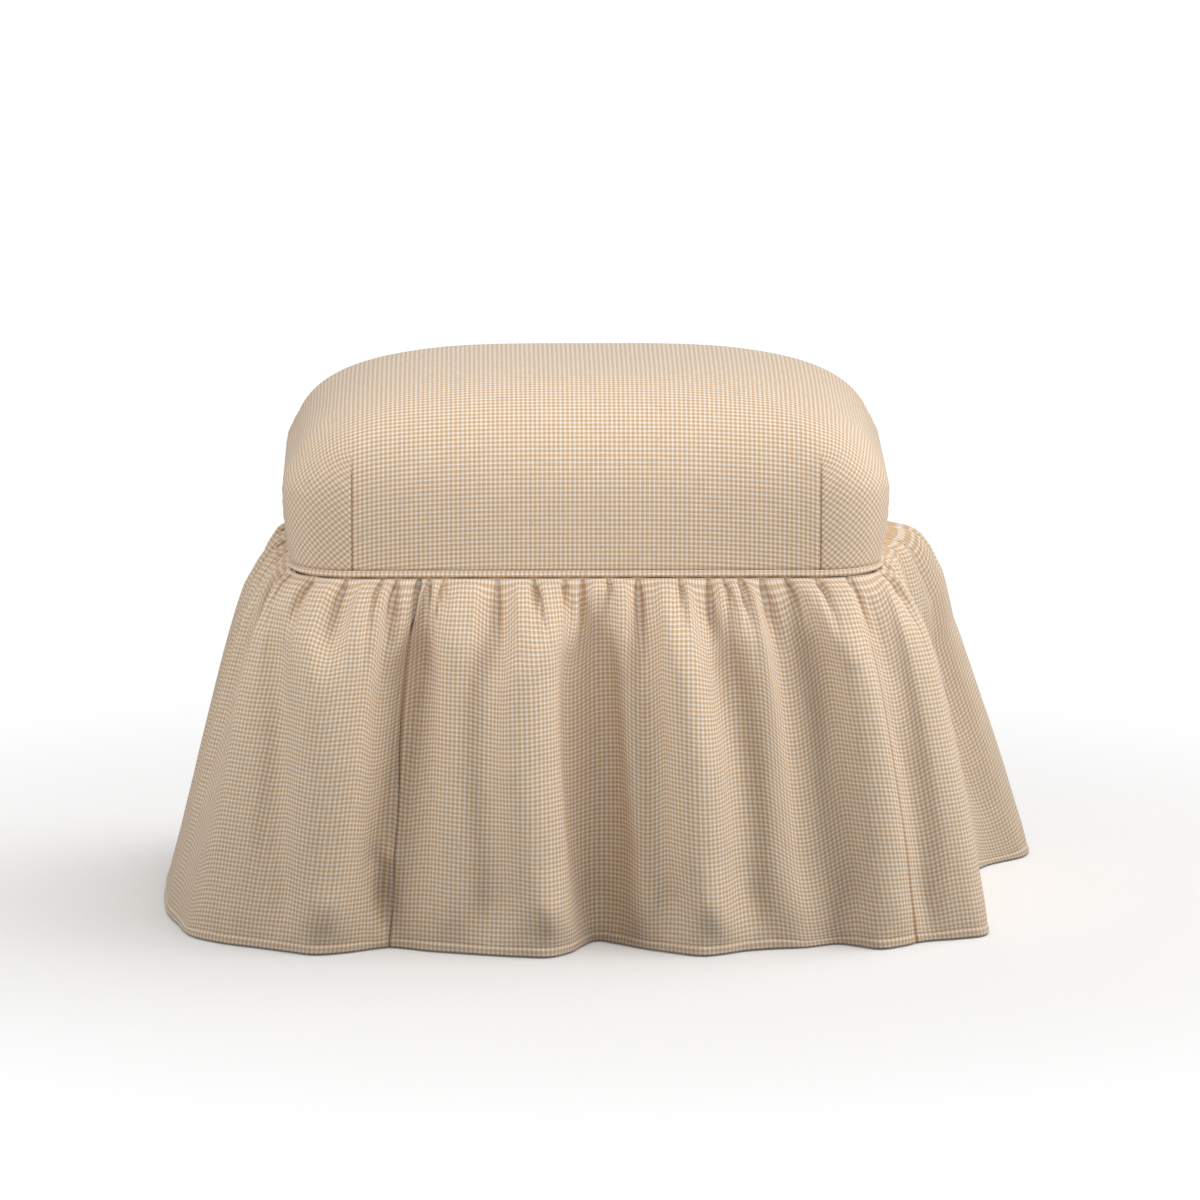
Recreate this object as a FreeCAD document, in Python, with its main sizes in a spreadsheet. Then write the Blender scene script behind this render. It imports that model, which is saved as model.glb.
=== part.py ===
import FreeCAD
import Part

import math
import os

import Sketcher

# A skirted ottoman: a padded seat on a wooden frame with four posts, a piped edge and a gathered skirt.
# Units are millimetres. +Z is up, the origin is on the floor under the middle of the seat, and the front
# of the ottoman faces -Y. Every size below is a cell of one sheet, and the pieces are bound to those cells.

SIZES = {
    # Wooden frame
    "frame_length": 476,
    "frame_depth": 310,
    "rail_top": 348,
    "rail_height": 70,
    "rail_thickness": 22,
    "post_size": 44,
    "post_round": 42,
    "dowel_diameter": 10,
    "dowel_length": 44,
    "dowel_spacing": 34,
    "brace_thickness": 20,
    "brace_height": 50,
    "screw_diameter": 4,
    "screw_head": 8,
    "screw_grip": 30,
    "bolt_diameter": 6,
    "bolt_head": 11,
    "bolt_head_height": 4,
    "bolt_grip": 52,
    # Glides under the posts
    "glide_height": 4,
    "glide_diameter": 24,
    "glide_edge": 1.5,
    "nail_diameter": 2.5,
    "nail_start": 2,
    "nail_length": 18,
    # Staples
    "staple_width": 10,
    "staple_wire": 0.6,
    "staple_leg": 8,
    # Webbing, burlap and dust cover
    "strap_width": 50,
    "strap_thickness": 1.2,
    "strap_pitch": 84,
    "strap_end_gap": 6,
    "burlap_lift": 2,
    "burlap_thickness": 1,
    "burlap_inset": 6,
    "dust_thickness": 0.8,
    "dust_inset": 3,
    "dust_notch": 46,
    # Padding and cover
    "batting_thickness": 7,
    "cover_thickness": 1,
    "seat_bulge": 4,
    "bulge_height": 366,
    "seat_height": 460,
    "foam_base": 351.2,
    "fit_gap": 0.2,
    # Welt
    "welt_height": 302,
    "welt_reach": 8.5,
    "welt_diameter": 6,
    "cord_diameter": 4,
    "flange_thickness": 1.6,
    # Tack strip and gathering tape
    "strip_height": 12,
    "strip_thickness": 1.2,
    "tape_height": 13,
    "tape_thickness": 1,
    # Skirt: the rim under the welt, and levels below it by height and share of the way out to the hem line
    "skirt_thickness": 1.2,
    "rim_height": 298.8,
    "rim_reach": 5,
    "rim_share": 0,
    "puff_height": 284,
    "puff_share": 0.16,
    "shoulder_height": 245,
    "shoulder_share": 0.37,
    "middle_height": 150,
    "middle_share": 0.73,
    "low_height": 70,
    "low_share": 0.93,
    "hem_height": 1,
    "hem_share": 1,
    "front_seam": 135,
}

STRAPS_LENGTHWAYS = 3
STRAPS_CROSSWAYS = 5
PAD_LEVELS = 16
PAD_TOP_ANGLE = 87
PAD_DRAW_POWER = 0.47

Vector = FreeCAD.Vector
UP = Vector(0, 0, 1)

doc = FreeCAD.newDocument("skirted_ottoman")
sheet = doc.addObject("Spreadsheet::Sheet", "Sizes")
for row, (alias, value) in enumerate(SIZES.items(), start=1):
    sheet.set(f"A{row}", alias)
    sheet.set(f"B{row}", str(value))
    sheet.setAlias(f"B{row}", alias)
doc.recompute()

nodes = []


def size(alias):
    """A driving size, read from its cell."""
    return float(sheet.get(alias))


def node(thing):
    """Marks a finished object as a sub-part that gets its own file."""
    nodes.append(thing)
    return thing


def place(thing, x, y, z, turn=0, axis=UP):
    """Binds an object's position to expressions over the sheet, turned about one axis."""
    thing.Placement = FreeCAD.Placement(Vector(), FreeCAD.Rotation(axis, turn))
    thing.setExpression("Placement.Base.x", x)
    thing.setExpression("Placement.Base.y", y)
    thing.setExpression("Placement.Base.z", z)


def box(label, length, width, height, x, y, z):
    """A box whose sizes and corner are expressions over the sheet."""
    solid = doc.addObject("Part::Box", label)
    solid.setExpression("Length", length)
    solid.setExpression("Width", width)
    solid.setExpression("Height", height)
    place(solid, x, y, z)
    return solid


def cut(label, base, tool):
    """One object with another taken out of it."""
    result = doc.addObject("Part::Cut", label)
    result.Base = base
    result.Tool = tool
    return result


def group(label, members):
    """Separate solids kept together as one object."""
    result = doc.addObject("Part::Compound", label)
    result.Links = members
    return result


def feature(label, shape):
    """A document object with a shape worked out in code from the sheet."""
    result = doc.addObject("Part::Feature", label)
    result.Shape = shape
    return result


def own_plane(body, role):
    """The body's own origin plane with the given role."""
    return next(plane for plane in body.Origin.OriginFeatures if plane.Role == role)


def sketch(body, role, label, corners):
    """A closed sketch of straight lines whose corner coordinates are expressions over the sheet."""
    drawing = body.newObject("Sketcher::SketchObject", label)
    drawing.AttachmentSupport = [(own_plane(body, role), "")]
    drawing.MapMode = "FlatFace"
    count = len(corners)
    step = 2 * math.pi / count
    first = [Vector(10 * math.cos(step * index), 10 * math.sin(step * index), 0) for index in range(count)]
    for index in range(count):
        drawing.addGeometry(Part.LineSegment(first[index], first[(index + 1) % count]), False)
    for index in range(count):
        drawing.addConstraint(Sketcher.Constraint("Coincident", index, 2, (index + 1) % count, 1))
    for index, (across, along) in enumerate(corners):
        for kind, expression in (("DistanceX", across), ("DistanceY", along)):
            if expression == "0":
                other = "Vertical" if kind == "DistanceX" else "Horizontal"
                drawing.addConstraint(Sketcher.Constraint(other, -1, 1, index, 1))
            else:
                number = drawing.addConstraint(Sketcher.Constraint(kind, -1, 1, index, 1, 10.0))
                drawing.setExpression(f"Constraints[{number}]", expression)
    return drawing


# Corners of the frame. Each is described once at the front left and turned round the vertical.
CORNERS = (
    ("front_left", -1, -1, 0),
    ("front_right", 1, -1, 90),
    ("back_right", 1, 1, 180),
    ("back_left", -1, 1, 270),
)
SIDES = (("front", -1), ("back", 1))
ENDS = (("left", -1), ("right", 1))


def corner_point(sign_x, sign_y):
    """Expressions for the frame's outer corner."""
    return f"{sign_x} * Sizes.frame_length / 2", f"{sign_y} * Sizes.frame_depth / 2"


# Plan outline. Every line round the frame shares the same four corner centres, so lines at different
# reach run parallel, as cloth and padding do round a rounded corner.
CENTRE_X = size("frame_length") / 2 - size("post_round")
CENTRE_Y = size("frame_depth") / 2 - size("post_round")


def rounded_rectangle(half_x, half_y, radius, height):
    """A closed wire of four lines and four quarter arcs about the origin."""
    edges = []
    middle = radius * math.sqrt(0.5)
    centre_x = half_x - radius
    centre_y = half_y - radius
    for sign_x, sign_y, along_x in ((1, -1, 1), (1, 1, 0), (-1, 1, 1), (-1, -1, 0)):
        centre = Vector(sign_x * centre_x, sign_y * centre_y, height)
        flat = Vector(0, sign_y * radius, 0) if along_x else Vector(sign_x * radius, 0, 0)
        upright = Vector(sign_x * radius, 0, 0) if along_x else Vector(0, sign_y * radius, 0)
        bend = Vector(sign_x * middle, sign_y * middle, 0)
        edges.append(Part.Arc(centre + flat, centre + bend, centre + upright).toShape())
    ring = []
    for index, arc in enumerate(edges):
        following = edges[(index + 1) % 4]
        ring.append(arc)
        ring.append(Part.makeLine(arc.Vertexes[-1].Point, following.Vertexes[0].Point))
    return Part.Wire(ring)


def outline(reach, height):
    """The line that runs round the frame at a distance outside it."""
    radius = size("post_round") + reach
    return rounded_rectangle(CENTRE_X + radius, CENTRE_Y + radius, radius, height)


def plate(reach, bottom, top):
    """A flat plate with the frame's rounded outline, grown by reach."""
    return Part.Face(outline(reach, bottom)).extrude(Vector(0, 0, top - bottom))


def band(inner, outer, bottom, top):
    """A closed band round the frame between two reaches."""
    return plate(outer, bottom, top).cut(plate(inner, bottom - 1, top + 1))


# Dowels: two in each joint between a rail and a post.
dowels = []
for sign_x in (-1, 1):
    for sign_y in (-1, 1):
        for level in (-1, 1):
            height = f"Sizes.rail_top - Sizes.rail_height / 2 + {level} * Sizes.dowel_spacing / 2"
            for along, axis, turn in (("x", Vector(0, 1, 0), 90), ("y", Vector(1, 0, 0), -90)):
                dowel = doc.addObject("Part::Cylinder", "dowel")
                dowel.setExpression("Radius", "Sizes.dowel_diameter / 2")
                dowel.setExpression("Height", "Sizes.dowel_length")
                joint_x = f"{sign_x} * (Sizes.frame_length / 2 - Sizes.post_size) - Sizes.dowel_length / 2"
                joint_y = f"{sign_y} * (Sizes.frame_depth / 2 - Sizes.post_size) - Sizes.dowel_length / 2"
                middle_x = f"{sign_x} * (Sizes.frame_length / 2 - Sizes.rail_thickness / 2)"
                middle_y = f"{sign_y} * (Sizes.frame_depth / 2 - Sizes.rail_thickness / 2)"
                if along == "x":
                    place(dowel, joint_x, middle_y, height, turn, axis)
                else:
                    place(dowel, middle_x, joint_y, height, turn, axis)
                dowels.append(dowel)
rail_dowels = node(group("rail_dowels", dowels))


# Wood screws and lag bolts that hold the braces. Both are turned shapes, so each is a revolved profile.
def turned(profile):
    """A solid turned about Z from a half profile of radius and height pairs."""
    points = [Vector(radius, 0, height) for radius, height in profile]
    face = Part.Face(Part.makePolygon(points + points[:1]))
    return face.revolve(Vector(), UP, 360)


def aimed(shape, position, direction):
    """A copy of a shape made along -Z, moved and turned to point along a direction."""
    copy = shape.copy()
    copy.Placement = FreeCAD.Placement(position, FreeCAD.Rotation(Vector(0, 0, -1), direction))
    return copy


def at_corner(sign_x, sign_y, turn, shape):
    """A copy of a shape described at the front left corner, turned to another corner."""
    copy = shape.copy()
    corner = Vector(sign_x * size("frame_length") / 2, sign_y * size("frame_depth") / 2, 0)
    copy.Placement = FreeCAD.Placement(corner, FreeCAD.Rotation(UP, turn)).multiply(copy.Placement)
    return copy


screw_radius = size("screw_diameter") / 2
head_radius = size("screw_head") / 2
head_depth = head_radius - screw_radius
screw_profile = (
    (0, 0),
    (head_radius, 0),
    (screw_radius, -head_depth),
    (screw_radius, -size("screw_grip") + screw_radius * 2),
    (0, -size("screw_grip")),
)
bolt_radius = size("bolt_diameter") / 2
bolt_profile = (
    (0, size("bolt_head_height")),
    (size("bolt_head") / 2, size("bolt_head_height")),
    (size("bolt_head") / 2, 0),
    (bolt_radius, 0),
    (bolt_radius, -size("bolt_grip") + bolt_radius * 2),
    (0, -size("bolt_grip")),
)
wood_screw = turned(screw_profile)
lag_bolt = turned(bolt_profile)
post = size("post_size")
rail = size("rail_thickness")
slant = size("brace_thickness") * math.sqrt(2)
frame_middle = size("rail_top") - size("rail_height") / 2
screw_far = 2 * post - rail + slant / 2
screw_near = rail + slant / 2
bolt_seat = post + slant / 2
screws = []
bolts = []
for name, sign_x, sign_y, turn in CORNERS:
    into_front = aimed(wood_screw, Vector(screw_far, screw_near, frame_middle), Vector(0, -1, 0))
    into_end = aimed(wood_screw, Vector(screw_near, screw_far, frame_middle), Vector(-1, 0, 0))
    into_post = aimed(lag_bolt, Vector(bolt_seat, bolt_seat, frame_middle), Vector(-1, -1, 0))
    screws.append(at_corner(sign_x, sign_y, turn, into_front))
    screws.append(at_corner(sign_x, sign_y, turn, into_end))
    bolts.append(at_corner(sign_x, sign_y, turn, into_post))
brace_screws = node(feature("brace_screws", Part.makeCompound(screws)))
brace_bolts = node(feature("brace_bolts", Part.makeCompound(bolts)))


# Staples: a bent wire with a crown and two legs, described by where its crown rests on the work.
def staple(position, crown, legs):
    """A staple: its crown's underside at a position, the crown along one direction, the legs another."""
    half = size("staple_width") / 2
    wire = size("staple_wire")
    leg = size("staple_leg")
    across = crown.cross(legs)
    steps = (
        (-half, -wire),
        (half, -wire),
        (half, leg),
        (half - wire, leg),
        (half - wire, 0),
        (wire - half, 0),
        (wire - half, leg),
        (-half, leg),
    )
    points = [position + crown * side + legs * down - across * (wire / 2) for side, down in steps]
    return Part.Face(Part.makePolygon(points + points[:1])).extrude(across * wire)


def spread(count, pitch):
    """Evenly spaced places about zero."""
    return [(index - (count - 1) / 2) * pitch for index in range(count)]


ALONG_X = Vector(1, 0, 0)
ALONG_Y = Vector(0, 1, 0)
DOWN = Vector(0, 0, -1)
half_length = size("frame_length") / 2
half_depth = size("frame_depth") / 2
pitch = size("strap_pitch")
strap_y = spread(STRAPS_LENGTHWAYS, pitch)
strap_x = spread(STRAPS_CROSSWAYS, pitch)
strap_face = size("rail_top") + size("strap_thickness")
webbing = []
for sign in (-1, 1):
    for place_y in strap_y:
        for shift in spread(2, size("strap_width") / 2):
            spot = Vector(sign * (half_length - rail / 2), place_y + shift, strap_face)
            webbing.append(staple(spot, ALONG_Y, DOWN))
    for place_x in strap_x:
        for shift in spread(2, size("strap_width") / 2):
            spot = Vector(place_x + shift, sign * (half_depth - rail / 2), strap_face)
            webbing.append(staple(spot, ALONG_X, DOWN))
webbing_staples = node(feature("webbing_staples", Part.makeCompound(webbing)))

strip_top = size("rim_height") - size("fit_gap")
tape_face = size("strip_thickness") + size("tape_thickness")
strip_middle = strip_top - size("strip_height") / 2
skirt_line = []
for sign in (-1, 1):
    for place_x in spread(6, 72):
        spot = Vector(place_x, sign * (half_depth + tape_face), strip_middle)
        skirt_line.append(staple(spot, ALONG_X, Vector(0, -sign, 0)))
    for place_y in spread(4, 60):
        spot = Vector(sign * (half_length + tape_face), place_y, strip_middle)
        skirt_line.append(staple(spot, ALONG_Y, Vector(-sign, 0, 0)))
skirt_staples = node(feature("skirt_staples", Part.makeCompound(skirt_line)))

rail_foot = size("rail_top") - size("rail_height")
dust_face = rail_foot - size("dust_thickness")
under = []
for sign in (-1, 1):
    for place_x in spread(5, 78):
        spot = Vector(place_x, sign * (half_depth - rail / 2), dust_face)
        under.append(staple(spot, ALONG_X, UP))
    for place_y in spread(3, 78):
        spot = Vector(sign * (half_length - rail / 2), place_y, dust_face)
        under.append(staple(spot, ALONG_Y, UP))
dust_staples = node(feature("dust_staples", Part.makeCompound(under)))

# Glides and their nails
nails = []
for name, sign_x, sign_y, turn in CORNERS:
    nail = doc.addObject("Part::Cylinder", "nail")
    nail.setExpression("Radius", "Sizes.nail_diameter / 2")
    nail.setExpression("Height", "Sizes.nail_length")
    spot_x = f"{sign_x} * (Sizes.frame_length / 2 - Sizes.post_size / 2)"
    spot_y = f"{sign_y} * (Sizes.frame_depth / 2 - Sizes.post_size / 2)"
    place(nail, spot_x, spot_y, "Sizes.nail_start")
    nails.append(nail)
glide_nails = node(group("glide_nails", nails))

for name, sign_x, sign_y, turn in CORNERS:
    body = doc.addObject("PartDesign::Body", f"glide_{name}_blank")
    rim = "Sizes.glide_diameter / 2"
    face = (
        ("0", "0"),
        (f"{rim} - Sizes.glide_edge", "0"),
        (rim, "Sizes.glide_edge"),
        (rim, "Sizes.glide_height"),
        ("0", "Sizes.glide_height"),
    )
    drawing = sketch(body, "XZ_Plane", f"glide_{name}_profile", face)
    turned_disc = body.newObject("PartDesign::Revolution", f"glide_{name}_turned")
    turned_disc.Profile = drawing
    turned_disc.ReferenceAxis = (drawing, ["V_Axis"])
    turned_disc.Angle = 360
    spot_x = f"{sign_x} * (Sizes.frame_length / 2 - Sizes.post_size / 2)"
    spot_y = f"{sign_y} * (Sizes.frame_depth / 2 - Sizes.post_size / 2)"
    place(body, spot_x, spot_y, "0")
    node(cut(f"glide_{name}", body, glide_nails))

# Posts: square, with the outer edge rounded to the seat's corner, bored for dowels, bolt and nail
post_bores = group("post_bores", [rail_dowels, brace_bolts, glide_nails])
for name, sign_x, sign_y, turn in CORNERS:
    body = doc.addObject("PartDesign::Body", f"post_{name}_blank")
    square = (
        ("0", "0"),
        ("Sizes.post_size", "0"),
        ("Sizes.post_size", "Sizes.post_size"),
        ("0", "Sizes.post_size"),
    )
    drawing = sketch(body, "XY_Plane", f"post_{name}_square", square)
    pad = body.newObject("PartDesign::Pad", f"post_{name}_pad")
    pad.Profile = drawing
    pad.setExpression("Length", "Sizes.rail_top - Sizes.glide_height")
    doc.recompute()
    outer_edge = next(
        f"Edge{number}"
        for number, edge in enumerate(pad.Shape.Edges, start=1)
        if all(abs(vertex.X) < 0.001 and abs(vertex.Y) < 0.001 for vertex in edge.Vertexes)
    )
    rounding = body.newObject("PartDesign::Fillet", f"post_{name}_rounding")
    rounding.Base = (pad, [outer_edge])
    rounding.setExpression("Radius", "Sizes.post_round")
    corner_x, corner_y = corner_point(sign_x, sign_y)
    place(body, corner_x, corner_y, "Sizes.glide_height", turn)
    node(cut(f"post_{name}", body, post_bores))

# Rails between the posts, flush with their outer faces
rail_bores = group(
    "rail_bores", [rail_dowels, brace_screws, webbing_staples, skirt_staples, dust_staples]
)
for name, sign in SIDES:
    blank = box(
        f"rail_{name}_blank",
        "Sizes.frame_length - 2 * Sizes.post_size",
        "Sizes.rail_thickness",
        "Sizes.rail_height",
        "Sizes.post_size - Sizes.frame_length / 2",
        f"{sign} * (Sizes.frame_depth / 2 - Sizes.rail_thickness / 2) - Sizes.rail_thickness / 2",
        "Sizes.rail_top - Sizes.rail_height",
    )
    node(cut(f"rail_{name}", blank, rail_bores))
for name, sign in ENDS:
    blank = box(
        f"rail_{name}_blank",
        "Sizes.rail_thickness",
        "Sizes.frame_depth - 2 * Sizes.post_size",
        "Sizes.rail_height",
        f"{sign} * (Sizes.frame_length / 2 - Sizes.rail_thickness / 2) - Sizes.rail_thickness / 2",
        "Sizes.post_size - Sizes.frame_depth / 2",
        "Sizes.rail_top - Sizes.rail_height",
    )
    node(cut(f"rail_{name}", blank, rail_bores))

# Corner braces: mitred blocks across each inside corner, against both rails and the post's inner edge
brace_bores = group("brace_bores", [brace_screws, brace_bolts])
near = "Sizes.rail_thickness"
outer_reach = "2 * Sizes.post_size - Sizes.rail_thickness"
inner_reach = f"{outer_reach} + Sizes.brace_thickness * sqrt(2)"
for name, sign_x, sign_y, turn in CORNERS:
    body = doc.addObject("PartDesign::Body", f"brace_{name}_blank")
    mitred = ((outer_reach, near), (inner_reach, near), (near, inner_reach), (near, outer_reach))
    drawing = sketch(body, "XY_Plane", f"brace_{name}_plan", mitred)
    pad = body.newObject("PartDesign::Pad", f"brace_{name}_pad")
    pad.Profile = drawing
    pad.setExpression("Length", "Sizes.brace_height")
    corner_x, corner_y = corner_point(sign_x, sign_y)
    foot = "Sizes.rail_top - Sizes.rail_height / 2 - Sizes.brace_height / 2"
    place(body, corner_x, corner_y, foot, turn)
    node(cut(f"brace_{name}", body, brace_bores))

# Webbing: straps stapled to the rail tops and interlaced over the opening
thickness = size("strap_thickness")
weave = 0.55 * thickness


def strap(reach, crossings, first_over):
    """A strap's side view: flat on both rails, over and under the straps that it crosses."""
    half = size("strap_width") / 2
    rest = size("rail_top") + thickness / 2
    path = [(-reach, rest), (-reach + rail - size("strap_end_gap"), rest)]
    over = first_over
    for crossing in crossings:
        level = rest + (weave if over else -weave)
        path.append((crossing - half, level))
        path.append((crossing + half, level))
        over = not over
    path.append((reach - rail + size("strap_end_gap"), rest))
    path.append((reach, rest))
    upper = [(along, level + thickness / 2) for along, level in path]
    lower = [(along, level - thickness / 2) for along, level in reversed(path)]
    return upper + lower


def strap_solid(side_view, along, across, middle):
    """The strap's side view carried over its width."""
    half = size("strap_width") / 2
    points = [along * place + UP * level + across * (middle - half) for place, level in side_view]
    return Part.Face(Part.makePolygon(points + points[:1])).extrude(across * (2 * half))


for number, place_y in enumerate(strap_y, start=1):
    view = strap(half_length - size("strap_end_gap"), strap_x, number % 2 == 1)
    blank = feature(f"strap_long_{number}_blank", strap_solid(view, ALONG_X, ALONG_Y, place_y))
    node(cut(f"strap_long_{number}", blank, webbing_staples))
for number, place_x in enumerate(strap_x, start=1):
    view = strap(half_depth - size("strap_end_gap"), strap_y, number % 2 == 0)
    blank = feature(f"strap_cross_{number}_blank", strap_solid(view, ALONG_Y, ALONG_X, place_x))
    node(cut(f"strap_cross_{number}", blank, webbing_staples))

# Burlap sheet over the webbing, and the dust cover under the rails, notched round the posts
burlap_foot = size("rail_top") + size("burlap_lift")
burlap_top = burlap_foot + size("burlap_thickness")
node(feature("burlap_sheet", plate(-size("burlap_inset"), burlap_foot, burlap_top)))

dust_blank = feature("dust_cover_blank", plate(-size("dust_inset"), dust_face, rail_foot))
notches = []
for name, sign_x, sign_y, turn in CORNERS:
    notch = box(
        f"dust_notch_{name}",
        "Sizes.dust_notch",
        "Sizes.dust_notch",
        "Sizes.rail_height",
        f"{sign_x} * (Sizes.frame_length / 2 - Sizes.dust_notch / 2) - Sizes.dust_notch / 2",
        f"{sign_y} * (Sizes.frame_depth / 2 - Sizes.dust_notch / 2) - Sizes.dust_notch / 2",
        "Sizes.rail_top - 2 * Sizes.rail_height",
    )
    notches.append(notch)
dust_openings = group("dust_openings", notches + [dust_staples])
node(cut("dust_cover", dust_blank, dust_openings))


# Padding: one rounded form serves cover, batting and foam, each an inset of it. Going up, the plan
# outline draws in by a power of the cosine while the height follows the sine, which gives soft drawn-in
# sides, a rolled edge and a crown.
def cushion(inset, foot):
    """The seat's soft form, inset from the cover's outer face, down to a foot height."""
    shell = size("batting_thickness") + size("cover_thickness") + size("seat_bulge") - inset
    half_x = half_length + shell
    half_y = half_depth + shell
    corner = size("post_round") + shell
    rise = size("seat_height") - size("bulge_height") - inset
    drop = (size("bulge_height") - foot) / (size("bulge_height") - size("welt_height"))
    tuck = size("seat_bulge") * drop * drop
    sections = [rounded_rectangle(half_x - tuck, half_y - tuck, corner - tuck, foot)]
    for level in range(PAD_LEVELS + 1):
        angle = math.radians(PAD_TOP_ANGLE * level / PAD_LEVELS)
        draw = math.cos(angle) ** PAD_DRAW_POWER
        radius = corner * draw * draw + half_y * draw * (1 - draw)
        height = size("bulge_height") + rise * math.sin(angle)
        sections.append(rounded_rectangle(half_x * draw, half_y * draw, radius, height))
    return Part.makeLoft(sections, True, True)


cover_foot = size("welt_height") + size("welt_diameter") / 2 + size("fit_gap")
skin = size("cover_thickness")
padding = skin + size("batting_thickness")
outer_form = feature("cover_outer", cushion(0, cover_foot))
cover_space = feature("cover_inner", cushion(skin, cover_foot - 1))
node(cut("seat_cover", outer_form, cover_space))

foam_form = feature("foam_form", cushion(padding, cover_foot - 1))
frame_space = feature("frame_space", plate(size("fit_gap"), cover_foot - 5, size("foam_base")))
below_foam = feature("below_foam", plate(size("post_round"), cover_foot - 5, size("foam_base")))
below_cover = feature("below_cover", plate(size("post_round"), cover_foot - 5, cover_foot))
foam_core = node(cut("foam_core", foam_form, below_foam))
batting_space = group("batting_space", [foam_core, frame_space, below_cover])
node(cut("batting_wrap", cover_space, batting_space))


# Welt: a cord in a cloth sleeve with a flange that is stapled to the frame
def ring(diameter):
    """A round cord carried along the welt line."""
    path = outline(size("welt_reach"), size("welt_height"))
    start = path.Edges[0].Vertexes[0].Point
    tangent = path.Edges[0].tangentAt(path.Edges[0].FirstParameter)
    profile = Part.Wire(Part.makeCircle(diameter / 2, start, tangent))
    return path.makePipeShell([profile], True, False)


cord = ring(size("cord_diameter"))
node(feature("welt_cord", cord))
flange_edge = size("welt_reach") - (size("welt_diameter") + size("cord_diameter")) / 4
flange_half = size("flange_thickness") / 2
flange = band(0, flange_edge, size("welt_height") - flange_half, size("welt_height") + flange_half)
node(feature("welt_sleeve", ring(size("welt_diameter")).fuse(flange).cut(cord)))

# Tack strip and gathering tape on the frame's outer face, under the welt
strip_foot = strip_top - size("strip_height")
tape_foot = strip_top - size("tape_height")
strip_blank = feature("strip_blank", band(0, size("strip_thickness"), strip_foot, strip_top))
tape_blank = feature("tape_blank", band(size("strip_thickness"), tape_face, tape_foot, strip_top))
node(cut("tack_strip", strip_blank, skirt_staples))
node(cut("gathering_tape", tape_blank, skirt_staples))

# Skirt: four seamed panels of one gathered length. The hem line runs through its ridges and valleys, at the
# front as the photo shows them, and at every level the cloth is a share of the way from the rim to the hem.
HEM_LINES = {
    "front": (
        (-169, -248), (-131, -262), (-82, -278), (-38, -287), (-8, -253), (8, -235), (44, -252), (93, -282),
        (131, -264), (181, -251), (207, -238), (243, -256), (282, -228),
    ),
    "right": (
        (282, -228), (332, -194), (344, -150), (334, -70), (340, 20), (354, 85), (366, 134), (357, 174),
        (300, 222), (262, 260), (222, 264),
    ),
    "back": (
        (222, 264), (186, 248), (150, 252), (92, 282), (42, 250), (8, 253), (-50, 288), (-102, 250),
        (-140, 259), (-195, 280), (-250, 246), (-290, 226),
    ),
    "left": (
        (-290, 226), (-328, 184), (-336, 130), (-354, 70), (-366, -30), (-354, -120), (-322, -200),
        (-262, -243), (-228, -274), (-203, -268), (-169, -248),
    ),
}
SKIRT_LEVELS = ("rim", "puff", "shoulder", "middle", "low", "hem")

rim_radius = size("post_round") + size("rim_reach")
front_run = 2 * CENTRE_X
end_run = 2 * CENTRE_Y
corner_run = rim_radius * math.pi / 2
rim_length = 2 * (front_run + end_run) + 4 * corner_run


def rim_point(distance):
    """The point of the skirt's rim at a distance along it from the middle of the front."""
    runs = (
        (front_run / 2, Vector(0, -CENTRE_Y, 0), ALONG_X, -90, 0),
        (corner_run, Vector(CENTRE_X, -CENTRE_Y, 0), None, -90, 90),
        (end_run, Vector(CENTRE_X, -CENTRE_Y, 0), ALONG_Y, 0, 0),
        (corner_run, Vector(CENTRE_X, CENTRE_Y, 0), None, 0, 90),
        (front_run, Vector(CENTRE_X, CENTRE_Y, 0), -ALONG_X, 90, 0),
        (corner_run, Vector(-CENTRE_X, CENTRE_Y, 0), None, 90, 90),
        (end_run, Vector(-CENTRE_X, CENTRE_Y, 0), -ALONG_Y, 180, 0),
        (corner_run, Vector(-CENTRE_X, -CENTRE_Y, 0), None, 180, 90),
        (front_run / 2, Vector(-CENTRE_X, -CENTRE_Y, 0), ALONG_X, 270, 0),
    )
    left = distance % rim_length
    for length, start, along, facing, sweep in runs:
        if left <= length:
            break
        left -= length
    angle = math.radians(facing + sweep * left / length)
    base = start if along is None else start + along * left
    return base + Vector(math.cos(angle), math.sin(angle), 0) * rim_radius


# The whole hem as one ring, and the rim point that each of its points hangs from: the gathers are even, so
# both lie at the same share of their lines.
hem_ring = [Vector(x, y, 0) for line in HEM_LINES.values() for x, y in line[:-1]]
hem_steps = [(hem_ring[(k + 1) % len(hem_ring)] - point).Length for k, point in enumerate(hem_ring)]
gather = rim_length / sum(hem_steps)
rim_ring = [rim_point(gather * sum(hem_steps[:k]) - size("front_seam")) for k in range(len(hem_ring))]


def skirt_ring(level, layer):
    """One face of the skirt at one level, as the points of a ring moved out by half the cloth."""
    share = size(f"{level}_share")
    ring_points = [rim + (hem - rim) * share for rim, hem in zip(rim_ring, hem_ring)]
    moved = []
    for k, point in enumerate(ring_points):
        along = ring_points[(k + 1) % len(ring_points)] - ring_points[k - 1]
        outward = along.cross(UP).normalize()
        lift = UP * size(f"{level}_height")
        moved.append(point + outward * (layer * size("skirt_thickness") / 2) + lift)
    return moved


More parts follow.
